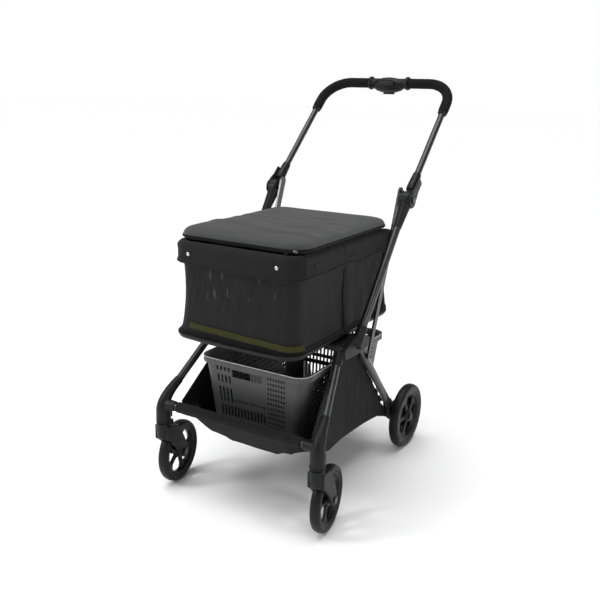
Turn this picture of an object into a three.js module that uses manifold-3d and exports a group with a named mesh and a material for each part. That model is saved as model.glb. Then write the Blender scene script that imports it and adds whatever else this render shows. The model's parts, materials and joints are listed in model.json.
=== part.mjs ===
// Pet stroller: a zipped soft carrier on a folding tube frame with four wheels and a basket underneath.
// Millimetres, +Z up, the front faces -Y, the left side (as seen by the person pushing) is +X.
// Every solid is drawn about the left elbow hinge height line (y = 0 at the elbow) and then moved by PLACE,
// which puts the origin on the floor under the middle of the whole stroller.
import * as THREE from 'three';
import { mergeVertices } from 'three/addons/utils/BufferGeometryUtils.js';
import Module from 'manifold-3d';

const wasm = await Module();
wasm.setup();

// ---- driving dimensions ----
const PLACE = [5.2, 81, 0];
const GAP = 0.4;

const ELBOW = { y: 0, z: 688, r: 22 };
const HANDLE_TILT = THREE.MathUtils.degToRad(44.1);
const HANDLE_REACH = 387;
const HANDLE_X = 185;
const HANDLE_BEND = 70;
const HANDLE_TUBE_R = 8;
const GRIP_R = 13;
const GRIP_START = 288;
const HOUSING_X = 58;

const MAIN = { x: 188, r: 9.5, end: [-236, 390] };
const LINK_X = [165.5, 170.5];
const LINK_CRANK = 19;
const PIVOT = { y: -180, z: 380.5 };
const LEG_X = 156;
const LEG_R = 8;
const LEG_END = [44, 127];
const LINK_FOOT_DISTANCE = 75;

const FRONT_LEG = { top: [169, -284, 379], bottom: [207, -422, 243], r: 9 };
const CASTER = { x: 210, y: -440, trail: 60, swivel: THREE.MathUtils.degToRad(8) };
const HEAD = { z0: 177, z1: 232, r: 17 };
const FORK_TOP = HEAD.z0 - GAP;
const FORK_CROWN = 146;
const CROSSBAR = { y: -436, z: 222, r: 9 };

const FRONT_WHEEL = { r: 76, width: 24 };
const REAR_WHEEL = { r: 87, width: 25, x: 178, y: 101 };
const REAR_TUBE = { y: 56, z: 100, r: 8 };
const BRAKE = { y: 84, z: 122, r: 4 };

const TRAY = { half: 160, y0: -457, y1: 7, z0: 399, z1: 413, corner: 34 };
const WALL = { half: 151, y0: -439, y1: -1, top: 610, flare: 7, skin: 4, corner: 34 };
const BAND = { half: 163, y0: -457.5, y1: 24, z0: 570, z1: 626, corner: 42 };
const MOUTH = { half: 143, y0: -431, y1: -31, r: 26 };
const LID = { half: 161, y0: -439, y1: -26, z0: 626.6, z1: 648, corner: 42 };
const PAD = { half: 143, z1: 434 };

const SLING = {
  z: 134, skin: 2, rearHalf: 147.4,
  tyreSweep: 140, tyreClear: 154.5,
  forkSweep: 80, forkClear: 204,
};
const BASKET = { half: 144.6, y0: -390, y1: 22, z0: 158, z1: 342, wall: 3, taper: 20, lip: 7 };

// Facets round a full circle.
const ROUND = 14;
const WHEEL_ROUND = 24;
const FINISH = {
  tube: { color: 0x3a3c3f, roughness: 0.32, metalness: 0.75 },
  plastic: { color: 0x2c2d2f, roughness: 0.5, metalness: 0 },
  foam: { color: 0x222223, roughness: 0.9, metalness: 0 },
  steel: { color: 0xb9bbbd, roughness: 0.25, metalness: 1 },
  tyre: { color: 0x1c1c1d, roughness: 0.55, metalness: 0 },
  rim: { color: 0x262729, roughness: 0.4, metalness: 0 },
  cloth: { color: 0x2b2b2d, roughness: 0.85, metalness: 0 },
  lid: { color: 0x4a4b4d, roughness: 0.8, metalness: 0 },
  basket: { color: 0x474747, roughness: 0.5, metalness: 0 },
};

// ---- solids ----
function solid(geometry) {
  const bare = new THREE.BufferGeometry();
  bare.setAttribute('position', geometry.getAttribute('position').clone());
  if (geometry.index) bare.setIndex(geometry.index.clone());
  const merged = mergeVertices(bare, 1e-3);
  return new wasm.Manifold(new wasm.Mesh({
    numProp: 3,
    vertProperties: new Float32Array(merged.getAttribute('position').array),
    triVerts: new Uint32Array(merged.index.array),
  }));
}

function geometryOf(body) {
  const { numProp, vertProperties, triVerts } = body.getMesh();
  const positions = [];
  for (const v of triVerts) {
    positions.push(...vertProperties.slice(v * numProp, v * numProp + 3));
  }
  const geometry = new THREE.BufferGeometry();
  geometry.setAttribute('position', new THREE.Float32BufferAttribute(positions, 3));
  return geometry;
}

const join = (...bodies) => bodies.reduce((all, body) => all.add(body));
const cut = (body, ...tools) => tools.reduce((left, tool) => left.subtract(tool), body);

// ---- profiles and sweeps ----
const outline = (points) => new THREE.Shape(points.map(([a, b]) => new THREE.Vector2(a, b)));

function disc(a, b, radius) {
  const shape = new THREE.Shape();
  shape.absarc(a, b, radius, 0, 2 * Math.PI);
  return shape;
}

// A stadium from point p to point q, with its own radius at each end.
function capsule(p, q, rp, rq = rp) {
  const along = Math.atan2(q[1] - p[1], q[0] - p[0]);
  const reach = Math.hypot(q[0] - p[0], q[1] - p[1]);
  const lean = Math.acos((rp - rq) / reach);
  const shape = new THREE.Shape();
  shape.absarc(p[0], p[1], rp, along + lean, along - lean + 2 * Math.PI, false);
  shape.absarc(q[0], q[1], rq, along - lean, along + lean, false);
  return shape;
}

function roundedRectangle(x0, x1, y0, y1, r) {
  const shape = new THREE.Shape();
  shape.absarc(x1 - r, y0 + r, r, -Math.PI / 2, 0);
  shape.absarc(x1 - r, y1 - r, r, 0, Math.PI / 2);
  shape.absarc(x0 + r, y1 - r, r, Math.PI / 2, Math.PI);
  shape.absarc(x0 + r, y0 + r, r, Math.PI, 1.5 * Math.PI);
  return shape;
}

const BASIS = {
  x: [new THREE.Vector3(0, 1, 0), new THREE.Vector3(0, 0, 1), new THREE.Vector3(1, 0, 0)],
  y: [new THREE.Vector3(0, 0, 1), new THREE.Vector3(1, 0, 0), new THREE.Vector3(0, 1, 0)],
  z: [new THREE.Vector3(1, 0, 0), new THREE.Vector3(0, 1, 0), new THREE.Vector3(0, 0, 1)],
};

// Extrudes a shape along one axis from a to b. Shape axes are (y, z), (z, x) or (x, y).
function prism(axis, shape, a, b, segments = ROUND) {
  const options = { depth: b - a, bevelEnabled: false, curveSegments: segments / 2 };
  const geometry = new THREE.ExtrudeGeometry(shape, options);
  geometry.applyMatrix4(new THREE.Matrix4().makeBasis(...BASIS[axis]));
  geometry.translate(...BASIS[axis][2].clone().multiplyScalar(a).toArray());
  return solid(geometry);
}

const cylinderX = (x0, x1, y, z, r, segments = ROUND) => prism('x', disc(y, z, r), x0, x1, segments);
const cylinderZ = (x, y, z0, z1, r, segments = ROUND) => prism('z', disc(x, y, r), z0, z1, segments);

// A straight round bar from p to q, with its own radius at each end.
function bar(p, q, rp, rq = rp, segments = ROUND) {
  const start = new THREE.Vector3(...p);
  const end = new THREE.Vector3(...q);
  const geometry = new THREE.CylinderGeometry(rq, rp, start.distanceTo(end), segments);
  const turn = new THREE.Quaternion().setFromUnitVectors(
    new THREE.Vector3(0, 1, 0),
    end.clone().sub(start).normalize(),
  );
  geometry.applyQuaternion(turn);
  geometry.translate(...start.add(end).multiplyScalar(0.5).toArray());
  return solid(geometry);
}

// A curve that runs straight from each station to the next.
class Stations extends THREE.Curve {
  constructor(points) {
    super();
    this.points = points;
  }

  getPoint(t) {
    const last = this.points.length - 1;
    const i = Math.min(Math.floor(t * last), last - 1);
    return this.points[i].clone().lerp(this.points[i + 1], t * last - i);
  }

  getUtoTmapping(u) {
    return u;
  }
}

function sweep(points, shape, segments = ROUND) {
  const extrudePath = new Stations(points);
  const steps = points.length - 1;
  return solid(new THREE.ExtrudeGeometry(shape, { steps, extrudePath, curveSegments: segments / 2 }));
}

// A surface of revolution about a line parallel to X; the profile is [radius, x] and closes on itself.
function spun(profile, y, z, segments = WHEEL_ROUND) {
  const points = profile.map(([r, x]) => new THREE.Vector2(r, x));
  const geometry = new THREE.LatheGeometry([...points, points[0]], segments);
  geometry.rotateZ(-Math.PI / 2);
  geometry.translate(0, y, z);
  return solid(geometry);
}

// A closed body through rounded rectangles stacked in Z; levels are { z, half, y0, y1, r }.
function stack(levels) {
  const positions = [];
  const triangles = [];
  let count = 0;
  for (const { z, half, y0, y1, r } of levels) {
    const loop = roundedRectangle(-half, half, y0, y1, r).getPoints(2);
    count = loop.length;
    positions.push(...loop.flatMap((point) => [point.x, point.y, z]));
  }
  for (let level = 0; level < levels.length - 1; level += 1) {
    for (let i = 0; i < count; i += 1) {
      const a = level * count + i;
      const b = level * count + ((i + 1) % count);
      triangles.push(a, b, b + count, a, b + count, a + count);
    }
  }
  const top = (levels.length - 1) * count;
  for (let i = 1; i < count - 1; i += 1) {
    triangles.push(0, i + 1, i, top, top + i, top + i + 1);
  }
  const geometry = new THREE.BufferGeometry();
  geometry.setAttribute('position', new THREE.Float32BufferAttribute(positions, 3));
  geometry.setIndex(triangles);
  return solid(geometry);
}

// ---- handle ----
const handlePoint = (x, reach) => new THREE.Vector3(
  x,
  ELBOW.y + reach * Math.cos(HANDLE_TILT),
  ELBOW.z + reach * Math.sin(HANDLE_TILT),
);
const BAR_CENTRE = handlePoint(0, HANDLE_REACH);

// The left bend of the handle, from the straight side round to the cross bar.
function handleBend(steps) {
  const points = [];
  for (let i = 0; i <= steps; i += 1) {
    const turn = (i / steps) * (Math.PI / 2);
    const x = HANDLE_X - HANDLE_BEND * (1 - Math.cos(turn));
    points.push(handlePoint(x, HANDLE_REACH - HANDLE_BEND * (1 - Math.sin(turn))));
  }
  return points;
}

// The straight side of the handle, which leans outwards a little towards the elbow.
const BEND_START = HANDLE_REACH - HANDLE_BEND;
const handleSide = (reach) => handlePoint(HANDLE_X + (3 * (BEND_START - reach)) / (BEND_START - 46), reach);

const mirrored = (points) => points.map((p) => new THREE.Vector3(-p.x, p.y, p.z)).reverse();

function handleTube() {
  const left = [handleSide(46), ...handleBend(8)];
  return sweep([...left, ...mirrored(left)], disc(0, 0, HANDLE_TUBE_R));
}

function grip() {
  const path = [handleSide(GRIP_START), ...handleBend(8), handlePoint(HOUSING_X + GAP, HANDLE_REACH)];
  return cut(
    sweep(path, disc(0, 0, GRIP_R)),
    sweep([handleSide(GRIP_START - 5), ...handleBend(8), handlePoint(0, HANDLE_REACH)],
      disc(0, 0, HANDLE_TUBE_R + GAP)),
  );
}

const BUTTON = { half: 25, height: 7.5, depth: 8, travel: 3 };
const TAB = { half: 17, depth: 6.5, z: -29, travel: 4 };

function ellipse(a, b, ra, rb) {
  const shape = new THREE.Shape();
  shape.absellipse(a, b, ra, rb, 0, 2 * Math.PI);
  return shape;
}

function handleHousing() {
  const { y, z } = BAR_CENTRE;
  const core = cylinderX(-HOUSING_X, HOUSING_X, y, z, GRIP_R);
  const collars = [-1, 1].map((s) => cylinderX(s * 54 - 4, s * 54 + 4, y, z, GRIP_R + 4));
  const shield = new THREE.SphereGeometry(1, 16, 8);
  shield.scale(50, 21, 21);
  shield.translate(0, y - 3, z - 5);
  const tube = cylinderX(-HOUSING_X - 1, HOUSING_X + 1, y, z, HANDLE_TUBE_R + GAP, ROUND);
  const button = prism('y', ellipse(z - 1, 0, BUTTON.height + GAP, BUTTON.half + GAP),
    y - 30, y - 24 + BUTTON.depth + BUTTON.travel + 2);
  const tab = prism('z', ellipse(0, y - 2, TAB.half + GAP, TAB.depth + GAP), z - 40, z - 12);
  return cut(join(core, ...collars, solid(shield)), tube, button, tab);
}

function thumbButton() {
  const { y, z } = BAR_CENTRE;
  return prism('y', ellipse(z - 1, 0, BUTTON.height, BUTTON.half), y - 25, y - 25 + BUTTON.depth);
}

function foldTab() {
  const { y, z } = BAR_CENTRE;
  return prism('z', ellipse(0, y - 2, TAB.half, TAB.depth), z + TAB.z, z - 12 - TAB.travel - 1);
}

// ---- fold linkage in side view: the leg pivot, the link's foot on the leg and its crank pin by the elbow ----
const LEG_DIRECTION = [LEG_END[0] - PIVOT.y, LEG_END[1] - PIVOT.z];
const LEG_LENGTH = Math.hypot(...LEG_DIRECTION);
const alongLeg = (distance) => [
  PIVOT.y + (distance * LEG_DIRECTION[0]) / LEG_LENGTH,
  PIVOT.z + (distance * LEG_DIRECTION[1]) / LEG_LENGTH,
];
const LINK_FOOT = alongLeg(LINK_FOOT_DISTANCE);

const LINK_LINE = Math.atan2(ELBOW.z - LINK_FOOT[1], ELBOW.y - LINK_FOOT[0]);
const LINK_TOP = [ELBOW.y + LINK_CRANK * Math.cos(LINK_LINE), ELBOW.z + LINK_CRANK * Math.sin(LINK_LINE)];

// ---- elbow ----
const ELBOW_INNER = [LINK_X[1] + GAP, 179];
const ELBOW_DRUM = [ELBOW_INNER[1] + GAP, 196];
const ELBOW_OUTER = [ELBOW_DRUM[1] + GAP, 206];
const PIN_R = 5;

function elbowSleeve() {
  const { y, z, r } = ELBOW;
  const shoulder = handlePoint(0, 40);
  const cheek = capsule([y, z], [shoulder.y, shoulder.z], r, 13);
  const socket = bar(handleSide(30).toArray(), handleSide(84).toArray(), 14, 11.5);
  const cheeks = [ELBOW_INNER, ELBOW_OUTER].map(([a, b]) => prism('x', cheek, a, b));
  return cut(
    join(socket, ...cheeks),
    cylinderX(ELBOW_DRUM[0] - GAP, ELBOW_DRUM[1] + GAP, y, z, r + 2.5, 24),
    cylinderX(ELBOW_INNER[0] - 1, ELBOW_OUTER[1] + 1, y, z, PIN_R + GAP),
    cylinderX(ELBOW_INNER[0] - 1, ELBOW_INNER[1] - 3, ...LINK_TOP, 4 + GAP),
    bar(handleSide(46 - GAP).toArray(), handleSide(95).toArray(), HANDLE_TUBE_R + GAP),
  );
}

const alongMain = (distance) => {
  const [y, z] = MAIN.end;
  const reach = Math.hypot(y - ELBOW.y, z - ELBOW.z);
  return [ELBOW.y + (distance * (y - ELBOW.y)) / reach, ELBOW.z + (distance * (z - ELBOW.z)) / reach];
};
const MAIN_LENGTH = Math.hypot(MAIN.end[0] - ELBOW.y, MAIN.end[1] - ELBOW.z);

function elbowDrum() {
  const [a, b] = ELBOW_DRUM;
  const drum = prism('x', capsule([ELBOW.y, ELBOW.z], alongMain(46), ELBOW.r, 12), a, b);
  const neck = bar([MAIN.x, ...alongMain(34)], [MAIN.x, ...alongMain(74)], 13, 11.5);
  const socket = bar([MAIN.x, ...alongMain(36)], [MAIN.x, ...alongMain(90)], MAIN.r + GAP);
  return cut(join(drum, neck), socket, cylinderX(a - 1, b + 1, ELBOW.y, ELBOW.z, PIN_R + GAP),
    cylinderX(ELBOW_INNER[0], ELBOW_DRUM[0], ELBOW.y, ELBOW.z, ELBOW.r + 4),
    cylinderX(ELBOW_DRUM[1], ELBOW_OUTER[1] + 4, ELBOW.y, ELBOW.z, ELBOW.r + 4));
}

function elbowPin() {
  const { y, z } = ELBOW;
  return join(
    cylinderX(ELBOW_INNER[0], ELBOW_OUTER[1] + 1, y, z, PIN_R),
    cylinderX(ELBOW_OUTER[1] + GAP, ELBOW_OUTER[1] + 2.4, y, z, 8),
  );
}

const mainTube = () => bar([MAIN.x, ...alongMain(36.5)], [MAIN.x, ...alongMain(MAIN_LENGTH)], MAIN.r);

// ---- fold link ----
function foldLink() {
  return join(
    prism('x', capsule(LINK_TOP, LINK_FOOT, 10, 7), ...LINK_X),
    cylinderX(LINK_X[1] - 1, ELBOW_INNER[1] - 3 - GAP, ...LINK_TOP, 4),
  );
}

// The stub on the rear leg that the link's foot bears on; it stops short of the link so the fold can pass.
function legStub() {
  return cylinderX(LEG_X + LEG_R - 3, LINK_X[0] - GAP, ...LINK_FOOT, 6);
}

// ---- lower bracket and front leg ----
const between = (p, q, t) => p.map((v, i) => v + (q[i] - v) * t);

function lowerBracket() {
  const { top, bottom, r } = FRONT_LEG;
  const mainSocket = bar([MAIN.x, ...alongMain(MAIN_LENGTH - 44)], [MAIN.x, ...alongMain(MAIN_LENGTH + 8)], 12, 14);
  const legSocket = bar(between(top, bottom, -0.05), between(top, bottom, 0.17), 13.5, 11.5);
  const web = prism('x', outline([[-196, 366], [-172, 368], [-168, 386], [-176, 394], [-228, 410], [-292, 388],
    [-290, 366], [-240, 362]]), LEG_X + LEG_R + 1, MAIN.x);
  const shelf = prism('z', roundedRectangle(138, 170, -296, -204, 3), 385, TRAY.z0 - GAP);
  return cut(
    join(mainSocket, legSocket, web, shelf),
    bar([MAIN.x, ...alongMain(MAIN_LENGTH - 60)], [MAIN.x, ...alongMain(MAIN_LENGTH + GAP)], MAIN.r + GAP),
    bar(between(top, bottom, -0.003), between(top, bottom, 0.3), r + GAP),
    cylinderX(150, MAIN.x - 8, PIVOT.y, PIVOT.z, PIN_R + GAP),
    prism('z', roundedRectangle(100, TRAY.half + 2, -330, -100, 1), TRAY.z0 - GAP, TRAY.z1 + 20),
  );
}

const frontLeg = () => bar(FRONT_LEG.top, FRONT_LEG.bottom, FRONT_LEG.r);

const legPin = () => cylinderX(LEG_X - LEG_R + 1, MAIN.x - 9, PIVOT.y, PIVOT.z, PIN_R);

// ---- front cross bar and caster heads ----
const CROSSBAR_HALF = 190;

const crossbar = () => cylinderX(-CROSSBAR_HALF, CROSSBAR_HALF, CROSSBAR.y, CROSSBAR.z, CROSSBAR.r, 16);

function casterHead() {
  const { top, bottom, r } = FRONT_LEG;
  const body = cylinderZ(CASTER.x, CASTER.y, HEAD.z0, HEAD.z1, HEAD.r, 20);
  const shoulder = bar([CASTER.x, CASTER.y, HEAD.z1 - 1], [CASTER.x - 1, CASTER.y + 4, HEAD.z1 + 10], HEAD.r, 12, 20);
  const legSocket = bar(between(bottom, top, -0.12), between(bottom, top, 0.17), 15, 11);
  const barSocket = bar([176, CROSSBAR.y, CROSSBAR.z], [CASTER.x - 8, CROSSBAR.y, CROSSBAR.z], 11.5, 14);
  return cut(
    join(body, shoulder, legSocket, barSocket),
    bar(between(bottom, top, -0.003), between(bottom, top, 0.4), r + GAP),
    cylinderX(170, CROSSBAR_HALF + GAP, CROSSBAR.y, CROSSBAR.z, CROSSBAR.r + GAP, 16),
    cylinderZ(CASTER.x, CASTER.y, HEAD.z0 - 1, HEAD.z0 + 24, STEM_R + GAP),
  );
}

// ---- casters: drawn straight, then swivelled about the stem ----
const STEM_R = 6;
const LOCK = { half: 8, y: CASTER.y + HEAD.r + GAP, depth: 7, z0: 184, z1: 200, travel: 6 };
const WHEEL_Y = CASTER.y + CASTER.trail;

function swivelled(body) {
  const geometry = geometryOf(body);
  geometry.translate(-CASTER.x, -CASTER.y, 0);
  geometry.rotateZ(CASTER.swivel);
  geometry.translate(CASTER.x, CASTER.y, 0);
  return solid(geometry);
}

const AXLE_R = 5;
const FORK_ARM = [FRONT_WHEEL.width / 2 + 2.5, FRONT_WHEEL.width / 2 + 8];

function casterFork() {
  const { x, y } = CASTER;
  const crown = join(
    cylinderZ(x, y, FORK_CROWN, FORK_TOP, HEAD.r + 1, 20),
    cylinderZ(x, y, FORK_TOP - 1, HEAD.z0 + 22, STEM_R),
  );
  const armShape = outline([[y - 14, FORK_TOP - 6], [y + 30, FORK_TOP - 6], [WHEEL_Y - 2, 150], [WHEEL_Y + 13, 84],
    [WHEEL_Y + 10, 66], [WHEEL_Y - 4, 62], [WHEEL_Y - 14, 70], [y + 20, 112], [y - 12, 140]]);
  const arms = [-1, 1].map((side) => {
    const [a, b] = side > 0 ? FORK_ARM : [-FORK_ARM[1], -FORK_ARM[0]];
    return prism('x', armShape, x + a, x + b);
  });
  const bridge = prism('x', outline([[y - 10, 158], [y + 34, 158], [y + 34, FORK_TOP - 6], [y - 10, FORK_TOP - 6]]),
    x - FORK_ARM[1], x + FORK_ARM[1]);
  const tyreRoom = cylinderX(x - FORK_ARM[0], x + FORK_ARM[0], WHEEL_Y, FRONT_WHEEL.r, FRONT_WHEEL.r + 3, 32);
  const axle = cylinderX(x - 40, x + 40, WHEEL_Y, FRONT_WHEEL.r, AXLE_R + GAP);
  return swivelled(cut(join(crown, ...arms, bridge), tyreRoom, axle));
}

function frontAxle() {
  const [, outer] = FORK_ARM;
  return swivelled(join(
    cylinderX(CASTER.x - outer - 1, CASTER.x + outer + 1, WHEEL_Y, FRONT_WHEEL.r, AXLE_R),
    cylinderX(CASTER.x + outer + GAP, CASTER.x + outer + 3, WHEEL_Y, FRONT_WHEEL.r, 8),
    cylinderX(CASTER.x - outer - 3, CASTER.x - outer - GAP, WHEEL_Y, FRONT_WHEEL.r, 8),
  ));
}

// A spoked rim about the X axis at x, y, z, with holes between its spokes.
function rim(x, y, z, wheel, spokes) {
  const half = wheel.width / 2;
  const edge = wheel.r - 15;
  const inner = edge - 7;
  const blank = spun([
    [AXLE_R + GAP, x - half + 1], [15, x - half + 1], [16, x - 6], [inner, x - 4], [inner, x - half + 2],
    [edge, x - half + 2], [edge, x + half - 2], [inner, x + half - 2], [inner, x + 4], [16, x + 6],
    [15, x + half - 1], [AXLE_R + GAP, x + half - 1],
  ], y, z);
  const windows = [];
  for (let i = 0; i < spokes; i += 1) {
    const centre = ((i + 0.5) / spokes) * 2 * Math.PI;
    const spread = (Math.PI / spokes) * 0.56;
    const corner = (radius, angle) => [y + radius * Math.cos(angle), z + radius * Math.sin(angle)];
    windows.push(prism('x', outline([
      corner(20, centre - spread * 0.6), corner(inner - 5, centre - spread), corner(inner - 2, centre),
      corner(inner - 5, centre + spread), corner(20, centre + spread * 0.6),
    ]), x - 20, x + 20));
  }
  return cut(blank, ...windows);
}

function tyre(x, y, z, wheel) {
  const half = wheel.width / 2;
  const bed = wheel.r - 15 + GAP;
  return spun([
    [bed, x - half + 1.5], [wheel.r - 8, x - half], [wheel.r - 3, x - half + 3], [wheel.r, x - half + 8],
    [wheel.r, x + half - 8], [wheel.r - 3, x + half - 3], [wheel.r - 8, x + half], [bed, x + half - 1.5],
  ], y, z);
}

const casterLock = () => prism('z', roundedRectangle(
  CASTER.x - LOCK.half, CASTER.x + LOCK.half, LOCK.y, LOCK.y + LOCK.depth, 2.5,
), LOCK.z0, LOCK.z1, 4);

// ---- rear frame ----
const BRACKET_X = [LEG_X - 9, 163];

function rearLeg() {
  const tube = cut(
    join(bar([LEG_X, ...alongLeg(0)], [LEG_X, ...alongLeg(LEG_LENGTH)], LEG_R),
      cylinderX(LEG_X - LEG_R, LEG_X + LEG_R, PIVOT.y, PIVOT.z, 11.5)),
    cylinderX(LEG_X - 20, LEG_X + 20, PIVOT.y, PIVOT.z, PIN_R + GAP),
  );
  return join(tube, legStub());
}

function wheelBracket() {
  const [a, b] = BRACKET_X;
  const plate = join(
    prism('x', capsule([REAR_WHEEL.y, REAR_WHEEL.r], [REAR_TUBE.y, REAR_TUBE.z], 13, 14), a, b, 8),
    prism('x', capsule([REAR_TUBE.y, REAR_TUBE.z], alongLeg(LEG_LENGTH - 26), 14, 12), a, b, 8),
    prism('x', capsule([REAR_WHEEL.y, REAR_WHEEL.r], [BRAKE.y, BRAKE.z], 13, 9), a, b, 8),
  );
  return cut(
    plate,
    bar([LEG_X, ...alongLeg(LEG_LENGTH - 70)], [LEG_X, ...alongLeg(LEG_LENGTH + GAP)], LEG_R + GAP),
    cylinderX(a - 1, b - 4, REAR_TUBE.y, REAR_TUBE.z, REAR_TUBE.r + GAP),
    cylinderX(a - 1, b + 1, REAR_WHEEL.y, REAR_WHEEL.r, AXLE_R + GAP),
    cylinderX(a - 1, b - 4, BRAKE.y, BRAKE.z, BRAKE.r + GAP),
  );
}

const rearTube = () => cylinderX(-(BRACKET_X[1] - 4 - GAP), BRACKET_X[1] - 4 - GAP, REAR_TUBE.y, REAR_TUBE.z, REAR_TUBE.r);

function rearAxle() {
  const outer = REAR_WHEEL.x + REAR_WHEEL.width / 2;
  return join(
    cylinderX(BRACKET_X[0] - 1, outer, REAR_WHEEL.y, REAR_WHEEL.r, AXLE_R),
    cylinderX(outer + GAP - 1, outer + 3, REAR_WHEEL.y, REAR_WHEEL.r, 9),
  );
}

function brakeBar() {
  const end = BRACKET_X[1] - 4 - GAP;
  return cylinderX(-end, end, BRAKE.y, BRAKE.z, BRAKE.r);
}

function brakePedal() {
  const arm = outline([[BRAKE.y - 9, BRAKE.z - 7], [BRAKE.y + 7, BRAKE.z - 9], [BRAKE.y + 48, BRAKE.z - 2],
    [BRAKE.y + 50, BRAKE.z + 4], [BRAKE.y + 8, BRAKE.z + 8], [BRAKE.y - 6, BRAKE.z + 9]]);
  return cut(prism('x', arm, -38, 38), cylinderX(-50, 50, BRAKE.y, BRAKE.z, BRAKE.r + GAP));
}

// ---- carrier ----
function tray() {
  const { half, y0, y1, z0, z1, corner } = TRAY;
  const level = (z, inset) => ({ z, half: half - inset, y0: y0 + inset, y1: y1 - inset, r: corner - inset });
  const outer = stack([level(z0, 10), level(z0 + 8, 0), level(z1, 0)]);
  const well = stack([level(z0 + 5, 14), level(z1 + 1, 12)]);
  return cut(outer, well);
}

function carrierLevels(inset) {
  const { half, y0, y1, top, flare } = WALL;
  const base = TRAY.z1 + GAP;
  return [[base, flare], [450, 2], [560, 0], [top, 1]].map(([z, out], i) => ({
    z: z + (inset && i === 0 ? -1 : 0) + (inset && i === 3 ? 1 : 0),
    half: half + out - inset,
    y0: y0 - out + inset,
    y1: y1 + out - inset,
    r: WALL.corner - inset,
  }));
}

const carrierWalls = () => cut(stack(carrierLevels(0)), stack(carrierLevels(WALL.skin)));

function carrierBand() {
  const { half, y0, y1, z0, z1, corner } = BAND;
  const level = (z, inset) => ({ z, half: half - inset, y0: y0 + inset, y1: y1 - inset, r: corner - inset });
  const clear = 1 + GAP;
  const room = { half: WALL.half + clear, y0: WALL.y0 - clear, y1: WALL.y1 + clear, r: WALL.corner - 2 };
  const wallRoom = stack([{ z: z0 - 1, ...room }, { z: WALL.top + GAP, ...room }]);
  const mouth = stack([{ z: z0 - 1, ...MOUTH }, { z: z1 + 1, ...MOUTH }]);
  return cut(stack([level(z0, 0), level(z1 - 8, 0), level(z1, 6)]), wallRoom, mouth);
}

function lid() {
  const { half, y0, y1, z0, z1, corner } = LID;
  const level = (z, inset) => ({ z, half: half - inset, y0: y0 + inset, y1: y1 - inset, r: corner - inset / 2 });
  return stack([level(z0, 0), level(z0 + 9, 0), level(z1 - 7, 7), level(z1, 34)]);
}

function pad() {
  const y0 = WALL.y0 + WALL.skin + 2;
  const y1 = WALL.y1 - WALL.skin - 2;
  const base = TRAY.z1 - 9;
  const level = (z, inset) => ({ z, half: PAD.half - inset, y0: y0 + inset, y1: y1 - inset, r: 20 });
  return stack([level(base + GAP, 2), level(base + 12, 0), level(PAD.z1, 6)]);
}

// ---- sling basket ----
const SLING_FRONT = [-418, 210];
const SLING_TOP = [[-155, 345], [-288, 343]];

function slingSide(skin) {
  const [yf, zf] = SLING_FRONT;
  const floor = [[yf + skin, zf], [-370 + skin, SLING.z + 2 + skin], [-280, SLING.z + skin],
    [-84, 142 + skin], [5, 148 + skin]];
  if (skin === 0) return outline([...floor, ...SLING_TOP]);
  return outline([...floor, [60, 152], [60, 500], [yf - 40, 500], [yf - 40, zf]]);
}

function slingPlan(inset) {
  const right = [[SLING.rearHalf, 70], [SLING.rearHalf, -200], [156, -290], [190, -412], [190, -500]];
  const side = right.map(([x, y]) => [x - inset, y]);
  return outline([...side.reverse(), ...side.reverse().map(([x, y]) => [-x, y])]);
}

// The room that the casters, their tyres and forks, sweep under the front corners as they turn.
function casterRooms(margin) {
  const { x, y } = CASTER;
  return [x, -x].flatMap((side) => [
    cylinderZ(side, y, 90, SLING.tyreClear + margin, SLING.tyreSweep + margin, 28),
    cylinderZ(side, y, 90, SLING.forkClear + margin, SLING.forkSweep + margin, 20),
  ]);
}

function sling() {
  const body = (skin) => cut(
    prism('x', slingSide(skin), -260, 260).intersect(prism('z', slingPlan(skin), 100, 600)),
    ...casterRooms(skin),
  );
  return cut(body(0), body(SLING.skin));
}

// ---- shopping basket ----
function shoppingBasket() {
  const { half, y0, y1, z0, z1, wall, taper, lip } = BASKET;
  const level = (z, inset, r) => ({ z, half: half - inset, y0: y0 + inset, y1: y1 - inset, r });
  const outer = join(
    stack([level(z0, taper + lip, 22), level(z1 - 1, lip, 28)]),
    stack([level(z1 - 14, 0, 34), level(z1, 0, 34)]),
  );
  const room = stack([level(z0 + wall, taper + lip + wall, 20), level(z1 + 1, lip + wall, 26)]);
  const slots = [];
  for (const x of [-72, -24, 24, 72]) {
    slots.push(prism('y', roundedRectangle(z1 - 60, z1 - 36, x - 15, x + 15, 5), y0 - 5, y0 + 60, 4));
  }
  return cut(outer, room, ...slots);
}

// ---- assembly ----
const parts = new THREE.Group();

function add(name, body, finish) {
  const geometry = geometryOf(body);
  geometry.translate(...PLACE);
  geometry.computeVertexNormals();
  const mesh = new THREE.Mesh(geometry, new THREE.MeshStandardMaterial(FINISH[finish]));
  mesh.name = name;
  parts.add(mesh);
}

// Adds a left part and its mirror image on the right.
function addPair(name, body, finish) {
  add(`${name}_left`, body, finish);
  add(`${name}_right`, body.mirror([1, 0, 0]), finish);
}

// Adds a caster part on each side; both casters swivel the same way.
function addCasterPair(name, body, finish) {
  add(`${name}_left`, body, finish);
  add(`${name}_right`, body.translate([-2 * CASTER.x, 0, 0]), finish);
}

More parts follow.
